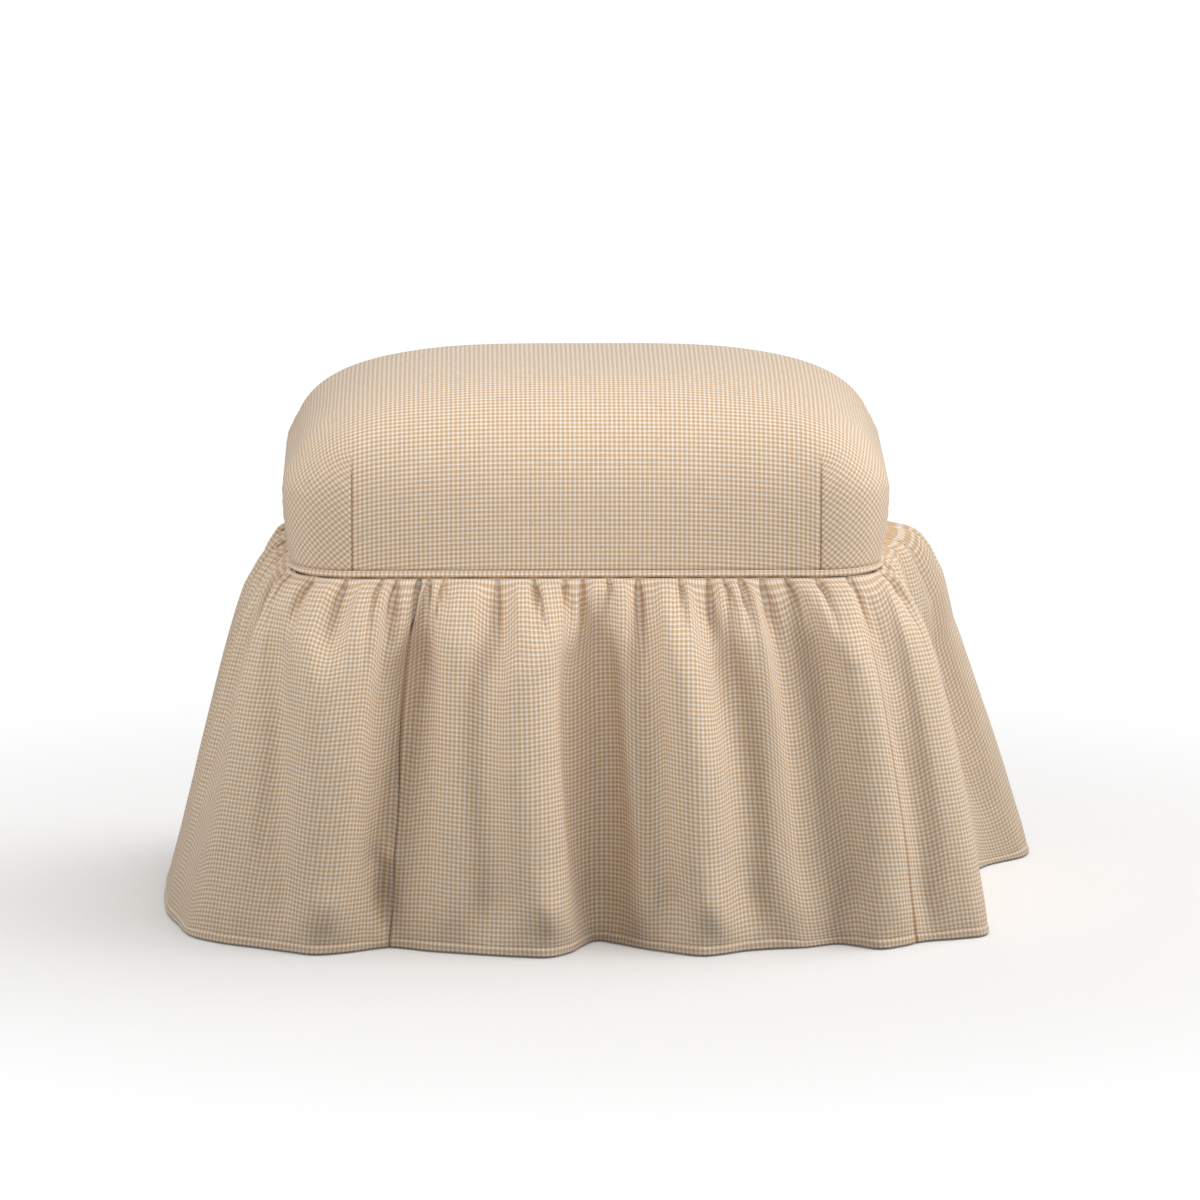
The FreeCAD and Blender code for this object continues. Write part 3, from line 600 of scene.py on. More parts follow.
def cotton_cord():
    """Twisted cotton cord: natural white, matt, with the twist of its strands every 4 mm."""
    material, tree = new_material("Twisted cotton cord")
    twist = 0.004
    slant = 0.6
    flat = add(tree, "UVMap", uv_map="cloth").outputs[0]
    lay = {"Vector": flat, "Rotation": (0, 0, slant), "Scale": (1 / twist, 1 / twist, 1)}
    strands = add(tree, "Mapping", lay).outputs[0]
    wave = add(tree, "TexWave", {"Vector": strands, "Scale": 1.0, "Distortion": 1.0}).outputs[1]
    colour = shaded(tree, wave, ((0.2, "#CFC6B2"), (0.8, "#E9E3D3")))
    bump = add(tree, "Bump", {"Height": wave, "Strength": 0.6, "Distance": 0.0004}).outputs[0]
    surface(tree, Base_Color=colour, Roughness=0.9, Normal=bump)
    return material


CORD_BOX = np.array(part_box("welt_cord"))
WELT_HEIGHT = CORD_BOX[:, 2].mean()
CORD_RADIUS = (CORD_BOX[1, 2] - CORD_BOX[0, 2]) / 2
WELT_RADIUS = CORD_BOX[1, 0] - CORD_RADIUS - CENTRE[0]
SLEEVE_RADIUS = WELT_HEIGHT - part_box("welt_sleeve")[0][2]
WELT_COUNT = 600
CORD_SIDES = 12
CORD_SLACK = 0.0002
SLEEVE_POINTS = 21
SLEEVE_SLACK = 0.0003
FLANGE_GAP = 0.0005
FLANGE_WIDTH = 0.008


def round_profile(radius, start, end, count):
    """Points of an arc, as outwards and up, from one angle to another."""
    turn = np.linspace(start, end, count)
    return radius * np.stack([np.cos(turn), np.sin(turn)], axis=1)


def strip_places(points, length):
    """Flat place of a strip along the rounded line: along it, and across it by the length of its profile."""
    along = np.linspace(0, length, points.shape[1] + 1)
    return corner_values(np.stack(np.meshgrid(along, run_length(points[:, 0])), axis=-1))


def welt_piece(name, profile, material):
    """A profile carried along the welt's line as one piece, its flat places, and the line's length."""
    points, length = carried(profile, WELT_RADIUS, WELT_HEIGHT, WELT_COUNT)
    cloth = strip_places(points, length)
    piece = new_piece(name, points, grid_faces(*points.shape[:2], wrap=True), material, cloth)
    return piece, cloth, length


cord_profile = round_profile(CORD_RADIUS - CORD_SLACK, np.pi, -np.pi, CORD_SIDES + 1)
cord, _, _ = welt_piece("welt_cord_twist", cord_profile, cotton_cord())
join_doubles(cord)
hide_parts("welt_cord")

wrap_angle = np.pi - np.arcsin(FLANGE_GAP / SLEEVE_RADIUS)
wrapped = round_profile(SLEEVE_RADIUS, wrap_angle, -wrap_angle, SLEEVE_POINTS)
flange = np.array([[-FLANGE_WIDTH, FLANGE_GAP], [-FLANGE_WIDTH / 2 - SLEEVE_RADIUS / 2, FLANGE_GAP]])
sleeve_profile = np.concatenate([flange, wrapped, flange[::-1] * [1, -1]])
sleeve, sleeve_cloth, welt_length = welt_piece("welt_sleeve_cloth", sleeve_profile, CHECKED_CLOTH)
thicken(sleeve, SLEEVE_RADIUS - CORD_RADIUS - SLEEVE_SLACK)
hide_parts("welt_sleeve")

# Tack strip and gathering tape
# A strip of grey cardboard keeps the skirt's top edge straight against the frame, and a woven cotton tape
# holds the gathers. Both are stapled through to the rails and posts, behind the skirt.
PULP_FIBRE = 0.003
CARD_COLOURS = ((0.35, "#9C8A72"), (0.65, "#B5A48B"))
TAPE_THREAD = 0.001
dress(grained("Pressed cardboard", PULP_FIBRE, CARD_COLOURS, 6.0, (0.3, 0.0002), Roughness=0.9), "tack_strip")
dress(coarse_weave("Woven cotton tape", ("#CFC8B8", "#EEE9DC"), TAPE_THREAD), "gathering_tape")

# Skirt
# Four panels of the same check are seamed into one ring, gathered onto the tape and left to fall. Its cloth
# is half as long again as the rim, so it pinches under the welt, swells, and flares in soft folds to the
# floor.
SKIRT_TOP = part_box("skirt_front")[1][2]
GATHER_RADIUS = 0.0515
SKIRT_DROP = 0.324
CLOTH_STEP = 0.004
HEM_REST = 0.0014
# Hem line on the floor, in millimetres, from the left over the front to the right and round the back
HEM_LINE = (
    (-358, -50), (-354, -110), (-344, -155), (-332, -200), (-306, -228), (-275, -247), (-248, -264),
    (-228, -275), (-203, -268), (-169, -248), (-150, -252), (-131, -262), (-82, -278), (-55, -285),
    (-32, -287), (-14, -268), (-6, -248), (7, -224), (22, -232), (44, -252), (70, -270), (93, -283),
    (110, -278), (131, -264), (155, -256), (181, -251), (207, -238), (222, -244), (243, -258), (262, -248),
    (282, -229), (310, -219), (334, -205), (336, -172), (323, -112), (320, -40), (327, 20), (348, 76),
    (383, 116), (382, 158), (338, 196), (300, 222), (262, 258), (222, 264), (186, 248), (150, 252),
    (112, 274), (76, 276), (42, 252), (8, 254), (-32, 278), (-68, 278), (-102, 252), (-140, 258),
    (-176, 276), (-212, 272), (-250, 246), (-290, 226), (-328, 184), (-336, 130), (-352, 84), (-358, 40),
    (-358, 0),
)
# How far the skirt has gone from the rim out to the hem line, by share of its drop
FLARE_FALL = (0, 0.03, 0.09, 0.16, 0.27, 0.41, 0.53, 0.66, 0.80, 0.92, 1)
FLARE_SHARE = (0, 0.12, 0.24, 0.345, 0.435, 0.545, 0.64, 0.745, 0.855, 0.95, 1)
# Where the skirt puffs out most under the welt: place along the rim from the middle of the front, half width
# along it, and how far out, in metres
RIGHT_PUFF = (0.47, 0.09, 0.019)
# Main folds of the front: how far each stands out and its half width, both in millimetres, and the places
# across the front, in millimetres, where it passes the levels of FOLD_LEVELS, which are shares of the drop.
# They grow and end between two shares of the drop, and fade where the rim turns away from the front.
FOLD_LEVELS = (0.05, 0.25, 0.50, 0.75, 0.97)
FOLD_START = (0.02, 0.25)
FOLD_END = (1.0, 0.85)
FOLD_FACING = (0.1, 0.6)
FRONT_FOLDS = (
    (-9, 11, (-262, -262, -257, -254, -252)),
    (14, 20, (-236, -228, -220, -220, -222)),
    (-32, 9, (-137, -143, -156, -172, -168)),
    (6, 16, (-112, -104, -100, -104, -112)),
    (-9, 20, (-70, -84, -84, -76, -80)),
    (19, 17, (-30, -50, -53, -42, -26)),
    (-12, 16, (2, -16, -14, 0, 8)),
    (4, 22, (24, 22, 26, 30, 40)),
    (-12, 13, (48, 60, 64, 66, 74)),
    (17, 14, (72, 82, 94, 97, 108)),
    (-11, 15, (104, 110, 122, 126, 138)),
    (3, 24, (132, 146, 156, 164, 172)),
    (-11, 15, (170, 206, 220, 226, 224)),
    (6, 12, (200, 226, 242, 252, 256)),
    (-7, 8, (224, 240, 262, 274, 283)),
)
# Pinches of the gathers along the rim, in millimetres from the middle of the front
FRONT_PINCHES = (
    -275, -261, -230, -200, -170, -158, -140, -131, -119, -74, -44, -18, -3, 18, 43, 78, 102, 114, 128, 146,
    166, 192, 220, 262,
)
# The pinches round the back lie at random. The cloth between two pinches is a little more than the rim there,
# with a random share of the spare cloth.
GATHER_SEED = 11
BACK_PINCHES = 52
PINCH_SPREAD = (0.55, 1.45)
PINCH_EASE = 1.08
SPARE_SPREAD = (0.75, 1.25)
PILLOW_SHAPE = 0.5
PILLOW_RISE = 0.55
PILLOW_LIMIT = 0.007
# How far the pillows of the gathers swell, by metres down the cloth, and how far their feet lie in
SWELL_DROP = (0, 0.010, 0.022, 0.05, 0.09, SKIRT_DROP)
SWELL_SHARE = (0.5, 1.0, 0.85, 0.3, 0.0, 0)
PILLOW_FOOT = 0.003
# How the puff swells and fades, by share of the drop
PUFF_FALL = (0, 0.02, 0.05, 0.12, 0.3)
PUFF_SHARE = (0, 0.8, 1, 0.7, 0)
# Rows of the cloth: fine steps under the gathers, which widen, then even ones down to the hem, in metres
ROW_STEPS = np.concatenate([np.linspace(0.003, 0.006, 12), np.full(40, 0.006)])
CURVE_POINTS = 40
RIM_POINTS = 4000
# Columns come in multiples of this, so that every reach of the weft links goes evenly round the ring
COLUMN_GROUP = 32


def through_points(before, start, end, after, part):
    """Points of a Catmull-Rom curve at a part of the way from start to end, by their neighbours."""
    bend = 2 * before - 5 * start + 4 * end - after + part * (3 * (start - end) + after - before)
    return start + 0.5 * part * (end - before + part * bend)


def closed_curve(points, per_span):
    """Catmull-Rom curve through a closed ring of points, and the length along it."""
    place = np.linspace(0, len(points), len(points) * per_span + 1)[:-1]
    span = place.astype(int)
    part = (place - span)[:, None]
    neighbours = (np.roll(points, shift, axis=0)[span] for shift in (1, 0, -1, -2))
    curve = through_points(*neighbours, part)
    curve = np.concatenate([curve, curve[:1]])
    return curve, run_length(curve)


def at_length(curve, length, place):
    """Points of a closed curve at places along it."""
    return at_places(np.mod(place, length[-1]), length, curve)


def gathers(rim_length, cloth_length, cloth_place):
    """Pillow height of the gathers along the cloth, the rim place of each cloth place, and the cloth places
    of the pinches. Between two pinches the pillow is a blunt arch, the root of a half sine, as high as its
    spare cloth and PILLOW_LIMIT allow."""
    chance = np.random.default_rng(GATHER_SEED)
    first, last = FRONT_PINCHES[0] / 1000, FRONT_PINCHES[-1] / 1000
    gaps = chance.uniform(*PINCH_SPREAD, BACK_PINCHES)
    behind = last + np.cumsum(gaps) / gaps.sum() * (rim_length + first - last)
    marks = np.concatenate([np.array(FRONT_PINCHES) / 1000, behind])
    width = np.diff(marks)
    spare = (cloth_length - PINCH_EASE * rim_length) / len(width)
    taken = PINCH_EASE * width + spare * chance.uniform(*SPARE_SPREAD, len(width))
    taken *= cloth_length / taken.sum()
    cloth_marks = np.append(0, np.cumsum(taken))
    middle = np.interp(0, marks, cloth_marks)
    wrapped = np.mod(cloth_place + middle, cloth_length)
    number = np.interp(wrapped, cloth_marks, np.arange(len(marks)))
    rise = np.minimum(PILLOW_RISE * width * np.sqrt(np.maximum(taken / width - 1, 0)), PILLOW_LIMIT)
    rise = rise[np.minimum(number.astype(int), len(width) - 1)]
    pillow = np.abs(np.sin(np.pi * number)) ** PILLOW_SHAPE * rise
    return pillow, np.interp(wrapped, cloth_marks, marks), cloth_marks - middle


def front_folds(across, fall):
    """How far the main folds of the front stand out, by place across it and share of the drop: each is a bell
    curve about a line that runs down through its places. They start under the gathers and end at the hem."""
    stand = np.zeros_like(across)
    for rise, half_width, places in FRONT_FOLDS:
        middle = np.interp(fall, FOLD_LEVELS, places)
        stand += rise * np.exp(-(((across - middle[:, None]) / half_width) ** 2))
    return stand * (smooth(fall, *FOLD_START) * smooth(fall, *FOLD_END))[:, None]


def hung_skirt():
    """The skirt before it settles: from the gathered rim it runs to the hem line, the pillows of the gathers
    swell under the welt and fade down the drop, and the front's main folds stand out of it. Rows run down the
    cloth and columns run round it."""
    hem, hem_length = closed_curve(np.array(HEM_LINE) / 1000, CURVE_POINTS)
    cloth_length = hem_length[-1]
    front = np.argmin(np.abs(hem[:, 0]) + (hem[:, 1] > 0))
    columns = int(round(cloth_length / CLOTH_STEP / COLUMN_GROUP)) * COLUMN_GROUP
    cloth_place = np.arange(columns) * cloth_length / columns
    hem_plan = at_length(hem, hem_length, hem_length[front] + cloth_place)
    line, ways, rim_length = rounded_line(GATHER_RADIUS, RIM_POINTS)
    pillow, rim_place, pinches = gathers(rim_length, cloth_length, cloth_place)
    rim_steps = np.linspace(0, rim_length, RIM_POINTS + 1)
    rim_plan = at_length(np.append(line, line[:1], axis=0), rim_steps, rim_place)
    way = at_length(np.append(ways, ways[:1], axis=0), rim_steps, rim_place)
    down = np.append(0, np.cumsum(ROW_STEPS)) * SKIRT_DROP / ROW_STEPS.sum()
    fall = down / SKIRT_DROP
    flare = np.interp(fall, FLARE_FALL, FLARE_SHARE)[:, None, None]
    swell = np.interp(down, SWELL_DROP, SWELL_SHARE)[:, None, None]
    plan = (1 - flare) * rim_plan + flare * hem_plan + swell * (pillow - PILLOW_FOOT)[:, None] * way
    puff_place, puff_width, puff_out = RIGHT_PUFF
    puff = puff_out * np.exp(-(((rim_place - puff_place) / puff_width) ** 2))
    puff_fade = np.interp(fall, PUFF_FALL, PUFF_SHARE)[:, None, None]
    plan += puff_fade * puff[:, None] * way
    facing_front = smooth(-way[:, 1], *FOLD_FACING)
    plan[..., 1] -= front_folds(1000 * plan[..., 0], fall) / 1000 * facing_front
    height = SKIRT_TOP - fall * (SKIRT_TOP - HEM_REST)
    height = np.broadcast_to(height[:, None, None], (*plan.shape[:2], 1))
    return np.concatenate([plan, height], axis=-1), down, cloth_length, hem_plan, pinches


# Links between points of the cloth: how many points on each reaches, and how firm it is. The first of a row
# keeps the thread's length, and the others resist bending.
WEFT_LINKS = ((1, 1.0), (2, 0.30), (4, 0.18), (8, 0.15), (16, 0.05))
WARP_LINKS = ((1, 1.0), (2, 0.30), (4, 0.20), (8, 0.10))
BIAS_FIRM = 0.08


def thread_links(warp, step):
    """Pairs of cloth points with the length that each keeps and how firmly: along the weft, along the warp,
    and both diagonals. No point is twice in one set of pairs. The hem is trimmed to the floor, so every warp
    thread is as long as it hangs, less the little that tension takes."""
    count_down, count_round = warp.shape[0] + 1, warp.shape[1]
    number = np.arange(count_down * count_round).reshape(count_down, count_round)
    sets = []
    for reach, firm in WEFT_LINKS:
        for half in range(2):
            picked = (np.arange(count_round) // reach) % 2 == half
            start, end = number[:, picked], np.roll(number, -reach, axis=1)[:, picked]
            sets.append((start.ravel(), end.ravel(), np.full(start.size, reach * step), firm))
    for reach, firm in WARP_LINKS:
        rows = np.arange(count_down - reach)
        for half in range(2):
            picked = rows[(rows // reach) % 2 == half]
            keep = sum(warp[picked + step_down] for step_down in range(reach))
            sets.append((number[picked].ravel(), number[picked + reach].ravel(), keep.ravel(), firm))
    rows = np.arange(count_down - 1)
    for half in range(2):
        picked = rows[rows % 2 == half]
        keep = np.hypot(warp[picked], step).ravel()
        upper, lower = number[picked], number[picked + 1]
        sets.append((upper.ravel(), np.roll(lower, -1, axis=1).ravel(), keep, BIAS_FIRM))
        sets.append((np.roll(upper, -1, axis=1).ravel(), lower.ravel(), keep, BIAS_FIRM))
    return sets


SWEEPS = 600
WEIGHT_STEP = 0.000003
GLIDE_ON = 0.85
# How firmly a sweep holds each point where it hung, and the shares of the drop where two of the holds fade
FOLD_HOLD = 0.025
GATHER_HOLD = 0.25
GATHER_FADE = (0.20, 0.05)
HEM_HOLD = 0.12
HEM_FADE = (0.75, 0.97)
RISE_LIMIT = 0.002
WARP_TENSION = 0.98
EVEN_PASSES = 14
FRAME_CLEAR = 0.0455


def outside_frame(plan):
    """Plan points, moved straight out where they are nearer to the corner centres than FRAME_CLEAR."""
    past = np.maximum(np.abs(plan) - CENTRE, 0)
    reach = np.maximum(np.linalg.norm(past, axis=-1, keepdims=True), 1e-6)
    edge = np.minimum(np.abs(plan), CENTRE)
    return np.sign(plan) * (edge + past * np.maximum(FRAME_CLEAR / reach, 1))


def settle(points, step, hem_plan):
    """Lets the skirt settle: each sweep carries the points on, lowers them by their weight, and moves every
    linked pair towards its own length. The top row stays sewn and the hem stays on its line on the floor. The
    gathers and the cloth above the hem are held firmly where they hung, and the folds a little. No point goes
    under the floor or into the frame."""
    rows, columns = points.shape[:2]
    cloth = points.reshape(-1, 3).astype(np.float32)
    sewn = cloth[:columns].copy()
    hung_plan = cloth[:, :2].copy()
    highest = cloth[:, 2] + RISE_LIMIT
    fall = 1 - cloth[:, 2:] / SKIRT_TOP
    hold = FOLD_HOLD + GATHER_HOLD * smooth(fall, *GATHER_FADE) + HEM_HOLD * smooth(fall, *HEM_FADE)
    free = np.ones(len(cloth), np.float32)
    free[:columns] = 0
    links = []
    warp = WARP_TENSION * np.linalg.norm(np.diff(points, axis=0), axis=-1)
    for start, end, keep, firm in thread_links(warp, step):
        share = firm / np.maximum(free[start] + free[end], 1e-6)
        links.append((start, end, keep.astype(np.float32), share * free[start], share * free[end]))
    hem_plan = hem_plan.astype(np.float32)
    travel = np.zeros_like(cloth)
    for _ in range(SWEEPS):
        before = cloth.copy()
        cloth += GLIDE_ON * travel
        cloth[:, 2] -= WEIGHT_STEP
        cloth[:columns] = sewn
        for start, end, keep, start_share, end_share in links:
            gap = cloth[end] - cloth[start]
            span = np.maximum(np.sqrt(np.einsum("ij,ij->i", gap, gap)), 1e-9)
            wrong = (span - keep) / span
            cloth[start] += (start_share * wrong)[:, None] * gap
            cloth[end] -= (end_share * wrong)[:, None] * gap
        cloth[-columns:, :2] = hem_plan
        cloth[:, :2] += hold * (hung_plan - cloth[:, :2])
        cloth[:, 2] = np.clip(cloth[:, 2], HEM_REST, highest)
        cloth[-columns:, 2] = HEM_REST
        cloth[:, :2] = outside_frame(cloth[:, :2])
        travel = cloth - before
    return cloth.reshape(rows, columns, 3).astype(float)


def evened(moves):
    """Moves of the settled rows without ripples shorter than a few centimetres: again and again each inner
    row becomes a quarter of the row above, half of itself and a quarter of the row below."""
    for _ in range(EVEN_PASSES):
        moves[1:-1] = 0.25 * moves[:-2] + 0.5 * moves[1:-1] + 0.25 * moves[2:]
    return moves


def between(grid, place, axis, wrap):
    """Values between the rows or columns of a grid, by Catmull-Rom curves through them."""
    count = grid.shape[axis]
    span = np.floor(place).astype(int)
    part = (place - span).reshape((-1,) + (1,) * (grid.ndim - 1 - axis))
    numbers = [span + shift for shift in (-1, 0, 1, 2)]
    numbers = [number % count if wrap else np.clip(number, 0, count - 1) for number in numbers]
    return through_points(*(np.take(grid, number, axis=axis) for number in numbers), part)


def outwards(grid):
    """Unit normals of a grid whose rows run down and whose columns run on to the right."""
    down_way = np.gradient(grid, axis=0)
    round_way = np.gradient(grid, axis=1)
    normal = np.cross(down_way, round_way)
    return normal / np.maximum(np.linalg.norm(normal, axis=-1, keepdims=True), 1e-12)


hung, down, cloth_length, hem_plan, pinches = hung_skirt()
column_step = cloth_length / hung.shape[1]
fallen = hung + evened(settle(hung, column_step, hem_plan) - hung)

HEM_DEPTH = 0.008
HEM_TURN = HEM_DEPTH + 0.0006
HEM_FOLD = 0.0016
HEM_SAG = 0.0003
# The hem's stitches draw the cloth in along a groove, and the turned hem below it stands out as much
HEM_RELIEF = 0.0005
GROOVE_WIDTH = 0.0008
HEM_PUFF_MIDDLE = 0.004
HEM_PUFF_HALF = 0.0036
# Rows of a panel near the hem, in metres above it
HEM_ROWS = np.array([0.0100, 0.0090, 0.0084, 0.0080, 0.0076, 0.0070, 0.0055, 0.0035, 0.0015, 0.0])
HEM_ROWS_FROM = 0.0115
SEAM_DEPTH = 0.0032
SEAM_WIDTH = 0.0009
SEAM_STEPS = np.array([0.0004, 0.0009])
SKIRT_THICKNESS = 0.0007
CREASE_DEPTH = 0.0085
CREASE_WIDTH = 0.0028
CREASE_FROM = 0.003
CREASE_SEED = 23
# Each crease has a share of the depth, a lean, and a reach down the cloth in metres, drawn between these two
CREASE_LEAST = (0.5, -0.25, 0.012)
CREASE_MOST = (1.0, 0.25, 0.050)
PANEL_FINENESS = 2.5
FLOOR_CLEAR = 0.0009
# Seams between the panels, in metres of cloth from the middle of the front
FRONT_SEAMS = (-0.204, 0.326)
PANEL_WIDTH = (cloth_length - FRONT_SEAMS[1] + FRONT_SEAMS[0]) / 3
SEAMS = {"front": FRONT_SEAMS}
for number, side in enumerate(("right", "back", "left")):
    SEAMS[side] = (FRONT_SEAMS[1] + number * PANEL_WIDTH, FRONT_SEAMS[1] + (number + 1) * PANEL_WIDTH)


def creases(across, drop):
    """How deep the cloth is drawn in below each pinch of the gathers: a crease that leans to one side,
    narrows and runs out a few centimetres down. Its depth falls off exponentially on both sides."""
    chance = np.random.default_rng(CREASE_SEED)
    depth = np.zeros((len(drop), len(across)))
    marks = np.concatenate([pinches[:-1], pinches[:-1] + cloth_length])
    shapes = chance.uniform(CREASE_LEAST, CREASE_MOST, (len(pinches) - 1, 3))
    for mark, (share, lean, reach) in zip(marks, np.concatenate([shapes, shapes])):
        off = across - mark - lean * drop[:, None]
        fade = np.exp(-((drop / reach) ** 2))[:, None]
        depth += share * CREASE_DEPTH * fade * np.exp(-np.abs(off) / (CREASE_WIDTH * (0.4 + 0.6 * fade)))
    return depth


def panel_grid(start, end):
    """One panel of the settled skirt on a finer grid. Below the gathers it is creased, both edges are drawn
    in to the seam, a groove follows the hem's stitches, and the hem is turned up inside."""
    inner = np.linspace(start, end, int(round((end - start) / column_step * PANEL_FINENESS)) + 1)
    across = np.concatenate([[start], start + SEAM_STEPS, inner[1:-1], end - SEAM_STEPS[::-1], [end]])
    fine = np.interp(np.arange(0, len(down) - 1 + 0.25, 0.5), np.arange(len(down)), down)
    drop = np.concatenate([fine[fine < SKIRT_DROP - HEM_ROWS_FROM], SKIRT_DROP - HEM_ROWS])
    rows = between(fallen, np.interp(drop, down, np.arange(len(down))), 0, False)
    grid = between(rows, across / column_step, 1, True)
    normal = outwards(grid)
    seam = SEAM_DEPTH * np.exp(-((np.minimum(across - start, end - across) / SEAM_WIDTH) ** 2))
    above = SKIRT_DROP - drop
    stitched = HEM_RELIEF * np.exp(-(((above - HEM_DEPTH) / GROOVE_WIDTH) ** 2))
    puffed = HEM_RELIEF * np.clip(1 - ((above - HEM_PUFF_MIDDLE) / HEM_PUFF_HALF) ** 2, 0, 1)
    drawn = creases(across, drop) * smooth(drop, 0.0, CREASE_FROM)[:, None]
    grid = grid + ((puffed - stitched)[:, None] - seam - drawn)[..., None] * normal
    turned_from = np.flatnonzero(above <= HEM_TURN)[::-1]
    turned = grid[turned_from] - HEM_FOLD * normal[turned_from]
    fold = grid[-1:] - HEM_FOLD / 2 * normal[-1:] - [0, 0, HEM_SAG]
    grid = np.concatenate([grid, fold, turned])
    grid[..., :2] = outside_frame(grid[..., :2])
    grid[..., 2] = np.maximum(grid[..., 2], FLOOR_CLEAR)
    inside = SKIRT_DROP + HEM_FOLD + above[turned_from]
    cloth_drop = np.concatenate([drop, [SKIRT_DROP + HEM_FOLD / 2], inside])
    return grid, across, cloth_drop


STITCH_PITCH = 0.0042
STITCH_LENGTH = 0.0030
STITCH_RADIUS = 0.00028
STITCH_LIFT = 0.0001
STITCH_SIDES = 6
STITCH_RINGS = 5
# Spun cotton thread, cream and matt
THREAD_GRAIN = 0.0012
THREAD_COLOURS = ((0.35, "#CDB08A"), (0.65, "#E3CFB2"))
SEWING_THREAD = grained("Cotton sewing thread", THREAD_GRAIN, THREAD_COLOURS, 1.0, Roughness=0.85)


def hem_stitches(name, grid, across, cloth_drop):
    """Stitches along the hem's groove: each is a short six-sided thread, thin at both ends, laid on the
    cloth."""
    row = int(np.argmin(np.abs(cloth_drop - (SKIRT_DROP - HEM_DEPTH))))
    normal = outwards(grid)[row]
    count = int((across[-1] - across[0]) / STITCH_PITCH)
    middle = across[0] + (np.arange(count) + 0.5) * STITCH_PITCH
    place = middle[:, None] + np.linspace(-0.5, 0.5, STITCH_RINGS) * STITCH_LENGTH
    line = at_places(place, across, grid[row])
    out = at_places(middle, across, normal)
    along = line[:, -1] - line[:, 0]
    along /= np.linalg.norm(along, axis=-1, keepdims=True)
    side = np.cross(along, out)
    turn = np.arange(STITCH_SIDES) * np.pi / 3
    girth = STITCH_RADIUS * np.sqrt(1 - (np.linspace(-0.95, 0.95, STITCH_RINGS)) ** 2)
    ring = np.cos(turn)[:, None] * out[:, None] + np.sin(turn)[:, None] * side[:, None]
    points = line[:, :, None] + girth[:, None, None] * ring[:, None] + STITCH_LIFT * out[:, None, None]
    first_end = np.array([[5, 4, 3, 2], [5, 2, 1, 0]])
    last_end = STITCH_SIDES * (STITCH_RINGS - 1) + np.array([[0, 1, 2, 3], [0, 3, 4, 5]])
    one = np.concatenate([grid_faces(STITCH_RINGS, STITCH_SIDES, wrap=True), first_end, last_end])
    each = STITCH_SIDES * STITCH_RINGS
    faces = (one + each * np.arange(count)[:, None, None]).reshape(-1, 4)
    return new_piece(name, points, faces, SEWING_THREAD)


for side, (start, end) in SEAMS.items():
    grid, across, cloth_drop = panel_grid(start, end)
    places = corner_values(np.stack(np.meshgrid(across, cloth_drop), axis=-1))
    faces = grid_faces(*grid.shape[:2])
    panel = new_piece(f"skirt_{side}_panel", grid, faces, CHECKED_CLOTH, places)
    thicken(panel, SKIRT_THICKNESS)
    stitches = hem_stitches(f"hem_stitches_{side}", grid, across, cloth_drop)
    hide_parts(f"skirt_{side}")


# Dust cover
# A thin black cambric is stapled under the rails, notched round the posts, to close the frame from below.
# It hangs a few millimetres low in the middle, and has small pressed dimples.
POST_NOTCH = 0.046
DUST_SAG = 0.004
DIMPLE = 0.002
CAMBRIC_COLOURS = ((0.1, "#1B1B1C"), (0.7, "#2A2A2B"))
cambric = grained("Black cambric", DIMPLE, CAMBRIC_COLOURS, bump=(0.4, 0.0002), Roughness=0.9)
dust_cover, dust_size = laid_sheet("dust_cover_cloth", "dust_cover", cambric, DUST_SAG, POST_NOTCH)
float(dust_size.prod() - 4 * POST_NOTCH**2)

# Floor, lamps and camera
# The ottoman stands on a white studio floor under large soft lamps, brightest from above and from the right.
# The camera is far off and a little above, so that the check hardly shrinks with distance.
FLOOR_HALF = 30.0
floor_corner = FLOOR_HALF * np.array([[-1, -1, 0], [1, -1, 0], [1, 1, 0], [-1, 1, 0]])
floor_mesh = bpy.data.meshes.new("floor")
floor_mesh.from_pydata(floor_corner.tolist(), [], [[0, 1, 2, 3]])
floor = bpy.data.objects.new("floor", floor_mesh)
bpy.context.collection.objects.link(floor)


def studio_floor():
    """White paper floor: matt, keeps the shadow, and is lifted to white for what the camera sees of it.
    The lift is least near the ottoman, which paints a soft shade on the floor round it."""
    material, tree = new_material("White paper floor")
    light = add(tree, "LightPath")
    seen = light.outputs["Is Camera Ray"]
    for kind in ("Is Glossy Ray", "Is Transmission Ray"):
        seen = reckon(tree, "MAXIMUM", seen, light.outputs[kind])
    place = add(tree, "TexCoord").outputs["Object"]
    away = add(tree, "VectorMath", {0: place}, operation="LENGTH").outputs["Value"]
    # The lift is smaller near the ottoman: painted shade on the floor round it, which deepens its shadow
    span = {"Value": away, "From Min": 0.45, "From Max": 1.2, "To Min": 0.11, "To Max": 0.24}
    lift_with_painted_shade_near = add(tree, "MapRange", span, interpolation_type="SMOOTHSTEP").outputs[0]
    lift = reckon(tree, "MULTIPLY", seen, lift_with_painted_shade_near)
    tone = add(tree, "MapRange", {"Value": seen, "To Min": 0.12, "To Max": 1.0}).outputs[0]
    paper = add(tree, "BsdfDiffuse", {"Color": tone})
    glow = add(tree, "Emission", {"Strength": lift})
    both = add(tree, "AddShader", {0: paper.outputs[0], 1: glow.outputs[0]})
    add(tree, "OutputMaterial", {"Surface": both.outputs[0]})
    return material


floor_mesh.materials.append(studio_floor())

SKY_STRENGTH = 0.46
world = bpy.data.worlds.new("studio")
bpy.context.scene.world = world
world.use_nodes = True
sky = world.node_tree.nodes["Background"].inputs
sky["Color"].default_value = (1, 1, 1, 1)
sky["Strength"].default_value = SKY_STRENGTH


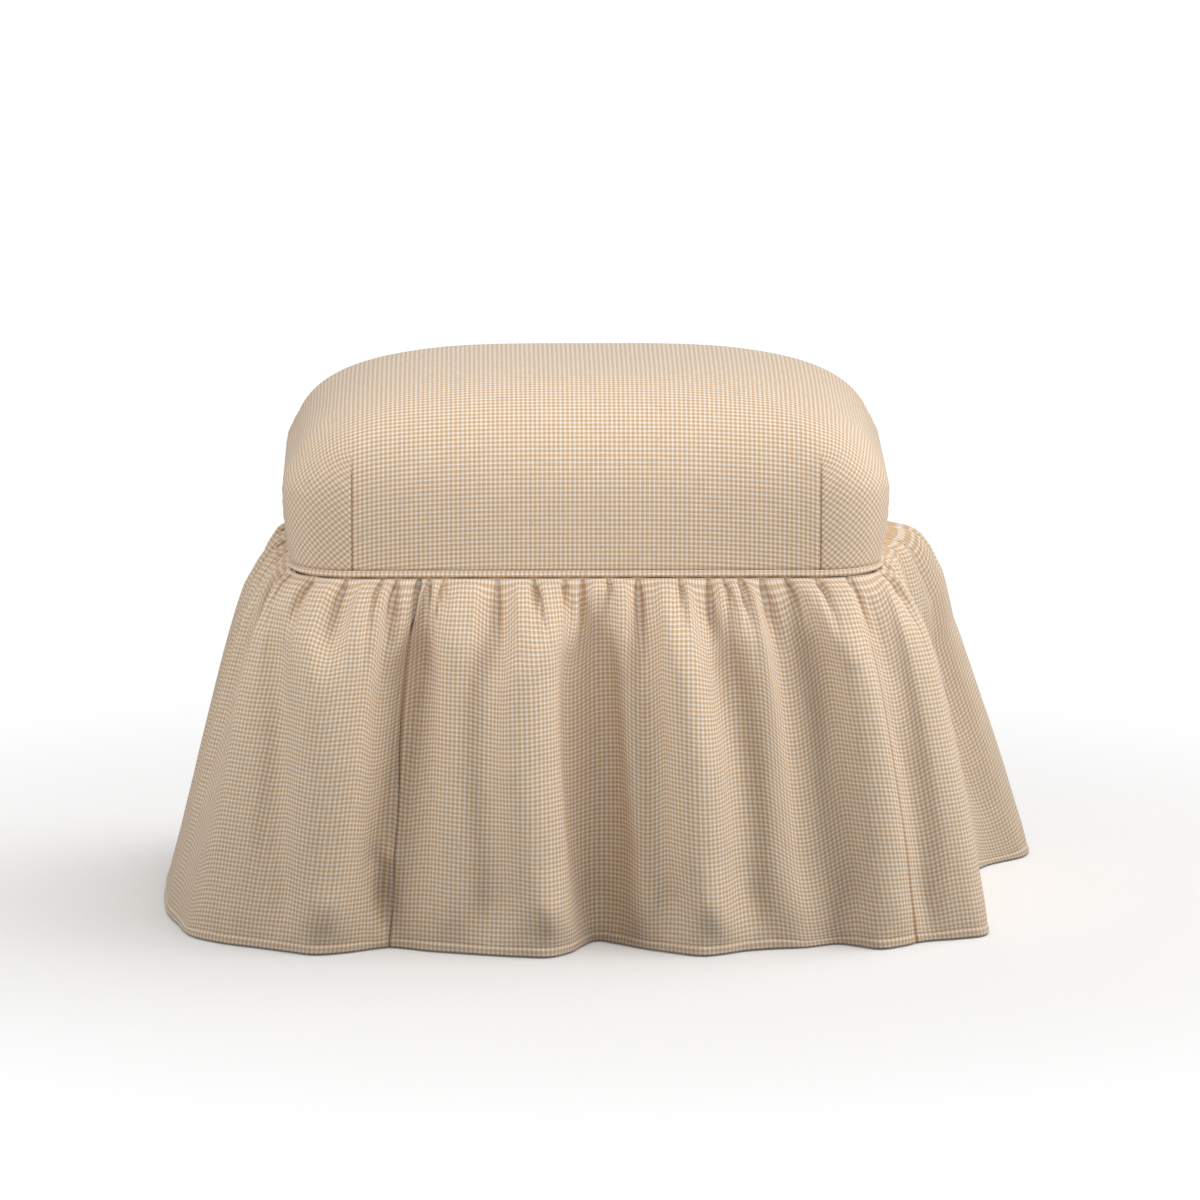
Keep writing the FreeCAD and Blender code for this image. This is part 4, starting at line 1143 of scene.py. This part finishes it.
def aimed_lamp(name, kind, strength, stand, target):
    """A lamp that stands at a point and shines at another; the camera doesn't see it."""
    data = bpy.data.lights.new(name, kind)
    data.energy = strength
    lamp = bpy.data.objects.new(name, data)
    lamp.location = stand
    lamp.rotation_euler = (Vector(target) - Vector(stand)).to_track_quat("-Z", "Y").to_euler()
    lamp.visible_camera = False
    bpy.context.collection.objects.link(lamp)
    return lamp


OVERHEAD_STRENGTH = 1.30
OVERHEAD_ANGLE = 60
overhead = aimed_lamp("overhead_lamp", "SUN", OVERHEAD_STRENGTH, (1.7, 0.6, 2.8), (0, 0, 0))
overhead.data.angle = np.radians(OVERHEAD_ANGLE)
# The softboxes are flagged off the floor, so that its shadow is the overhead lamp's
flagged = bpy.data.collections.new("flagged_from_softboxes")
flagged.objects.link(floor)
flagged.collection_objects[0].light_linking.link_state = "EXCLUDE"
# Softboxes with a grid: strength, where each stands, where it aims, width, and spread in degrees
SOFTBOXES = {
    "front_softbox": (0.36, (0.1, -1.3, 0.60), (0, -0.17, 0.47), 0.5, 36),
    "right_softbox": (2.10, (1.6, -0.7, 0.8), (0, -0.1, 0.36), 0.8, 60),
    "left_softbox": (1.75, (-1.6, -0.7, 0.8), (0, -0.1, 0.36), 0.8, 60),
}
for name, (strength, stand, target, width, spread) in SOFTBOXES.items():
    softbox = aimed_lamp(name, "AREA", strength, stand, target)
    softbox.data.size = width
    softbox.data.spread = np.radians(spread)
    softbox.light_linking.receiver_collection = flagged

IMAGE_PIXELS = 1200
CAMERA_DISTANCE = 9.0
PIXELS_PER_METRE = 1216
CAMERA_HEIGHT = 1.9619
CAMERA_SIDE = 0.0132
CAMERA_DIP = 0.1847
CAMERA_TURN = 0.0117
SENSOR = 36.0
camera_data = bpy.data.cameras.new("camera")
camera_data.sensor_width = SENSOR
camera_data.lens = SENSOR * CAMERA_DISTANCE * PIXELS_PER_METRE / IMAGE_PIXELS
camera_data.clip_end = 100.0
camera = bpy.data.objects.new("camera", camera_data)
stand = np.array([CAMERA_SIDE, -COVER_HIGH[1] - CAMERA_DISTANCE])
turn = np.array([[np.cos(CAMERA_TURN), np.sin(CAMERA_TURN)], [-np.sin(CAMERA_TURN), np.cos(CAMERA_TURN)]])
camera.location = (*(turn @ stand), CAMERA_HEIGHT)
camera.rotation_euler = (np.pi / 2 - CAMERA_DIP, 0, -CAMERA_TURN)
bpy.context.collection.objects.link(camera)
bpy.context.scene.camera = camera
bpy.context.scene.view_settings.view_transform = "Standard"
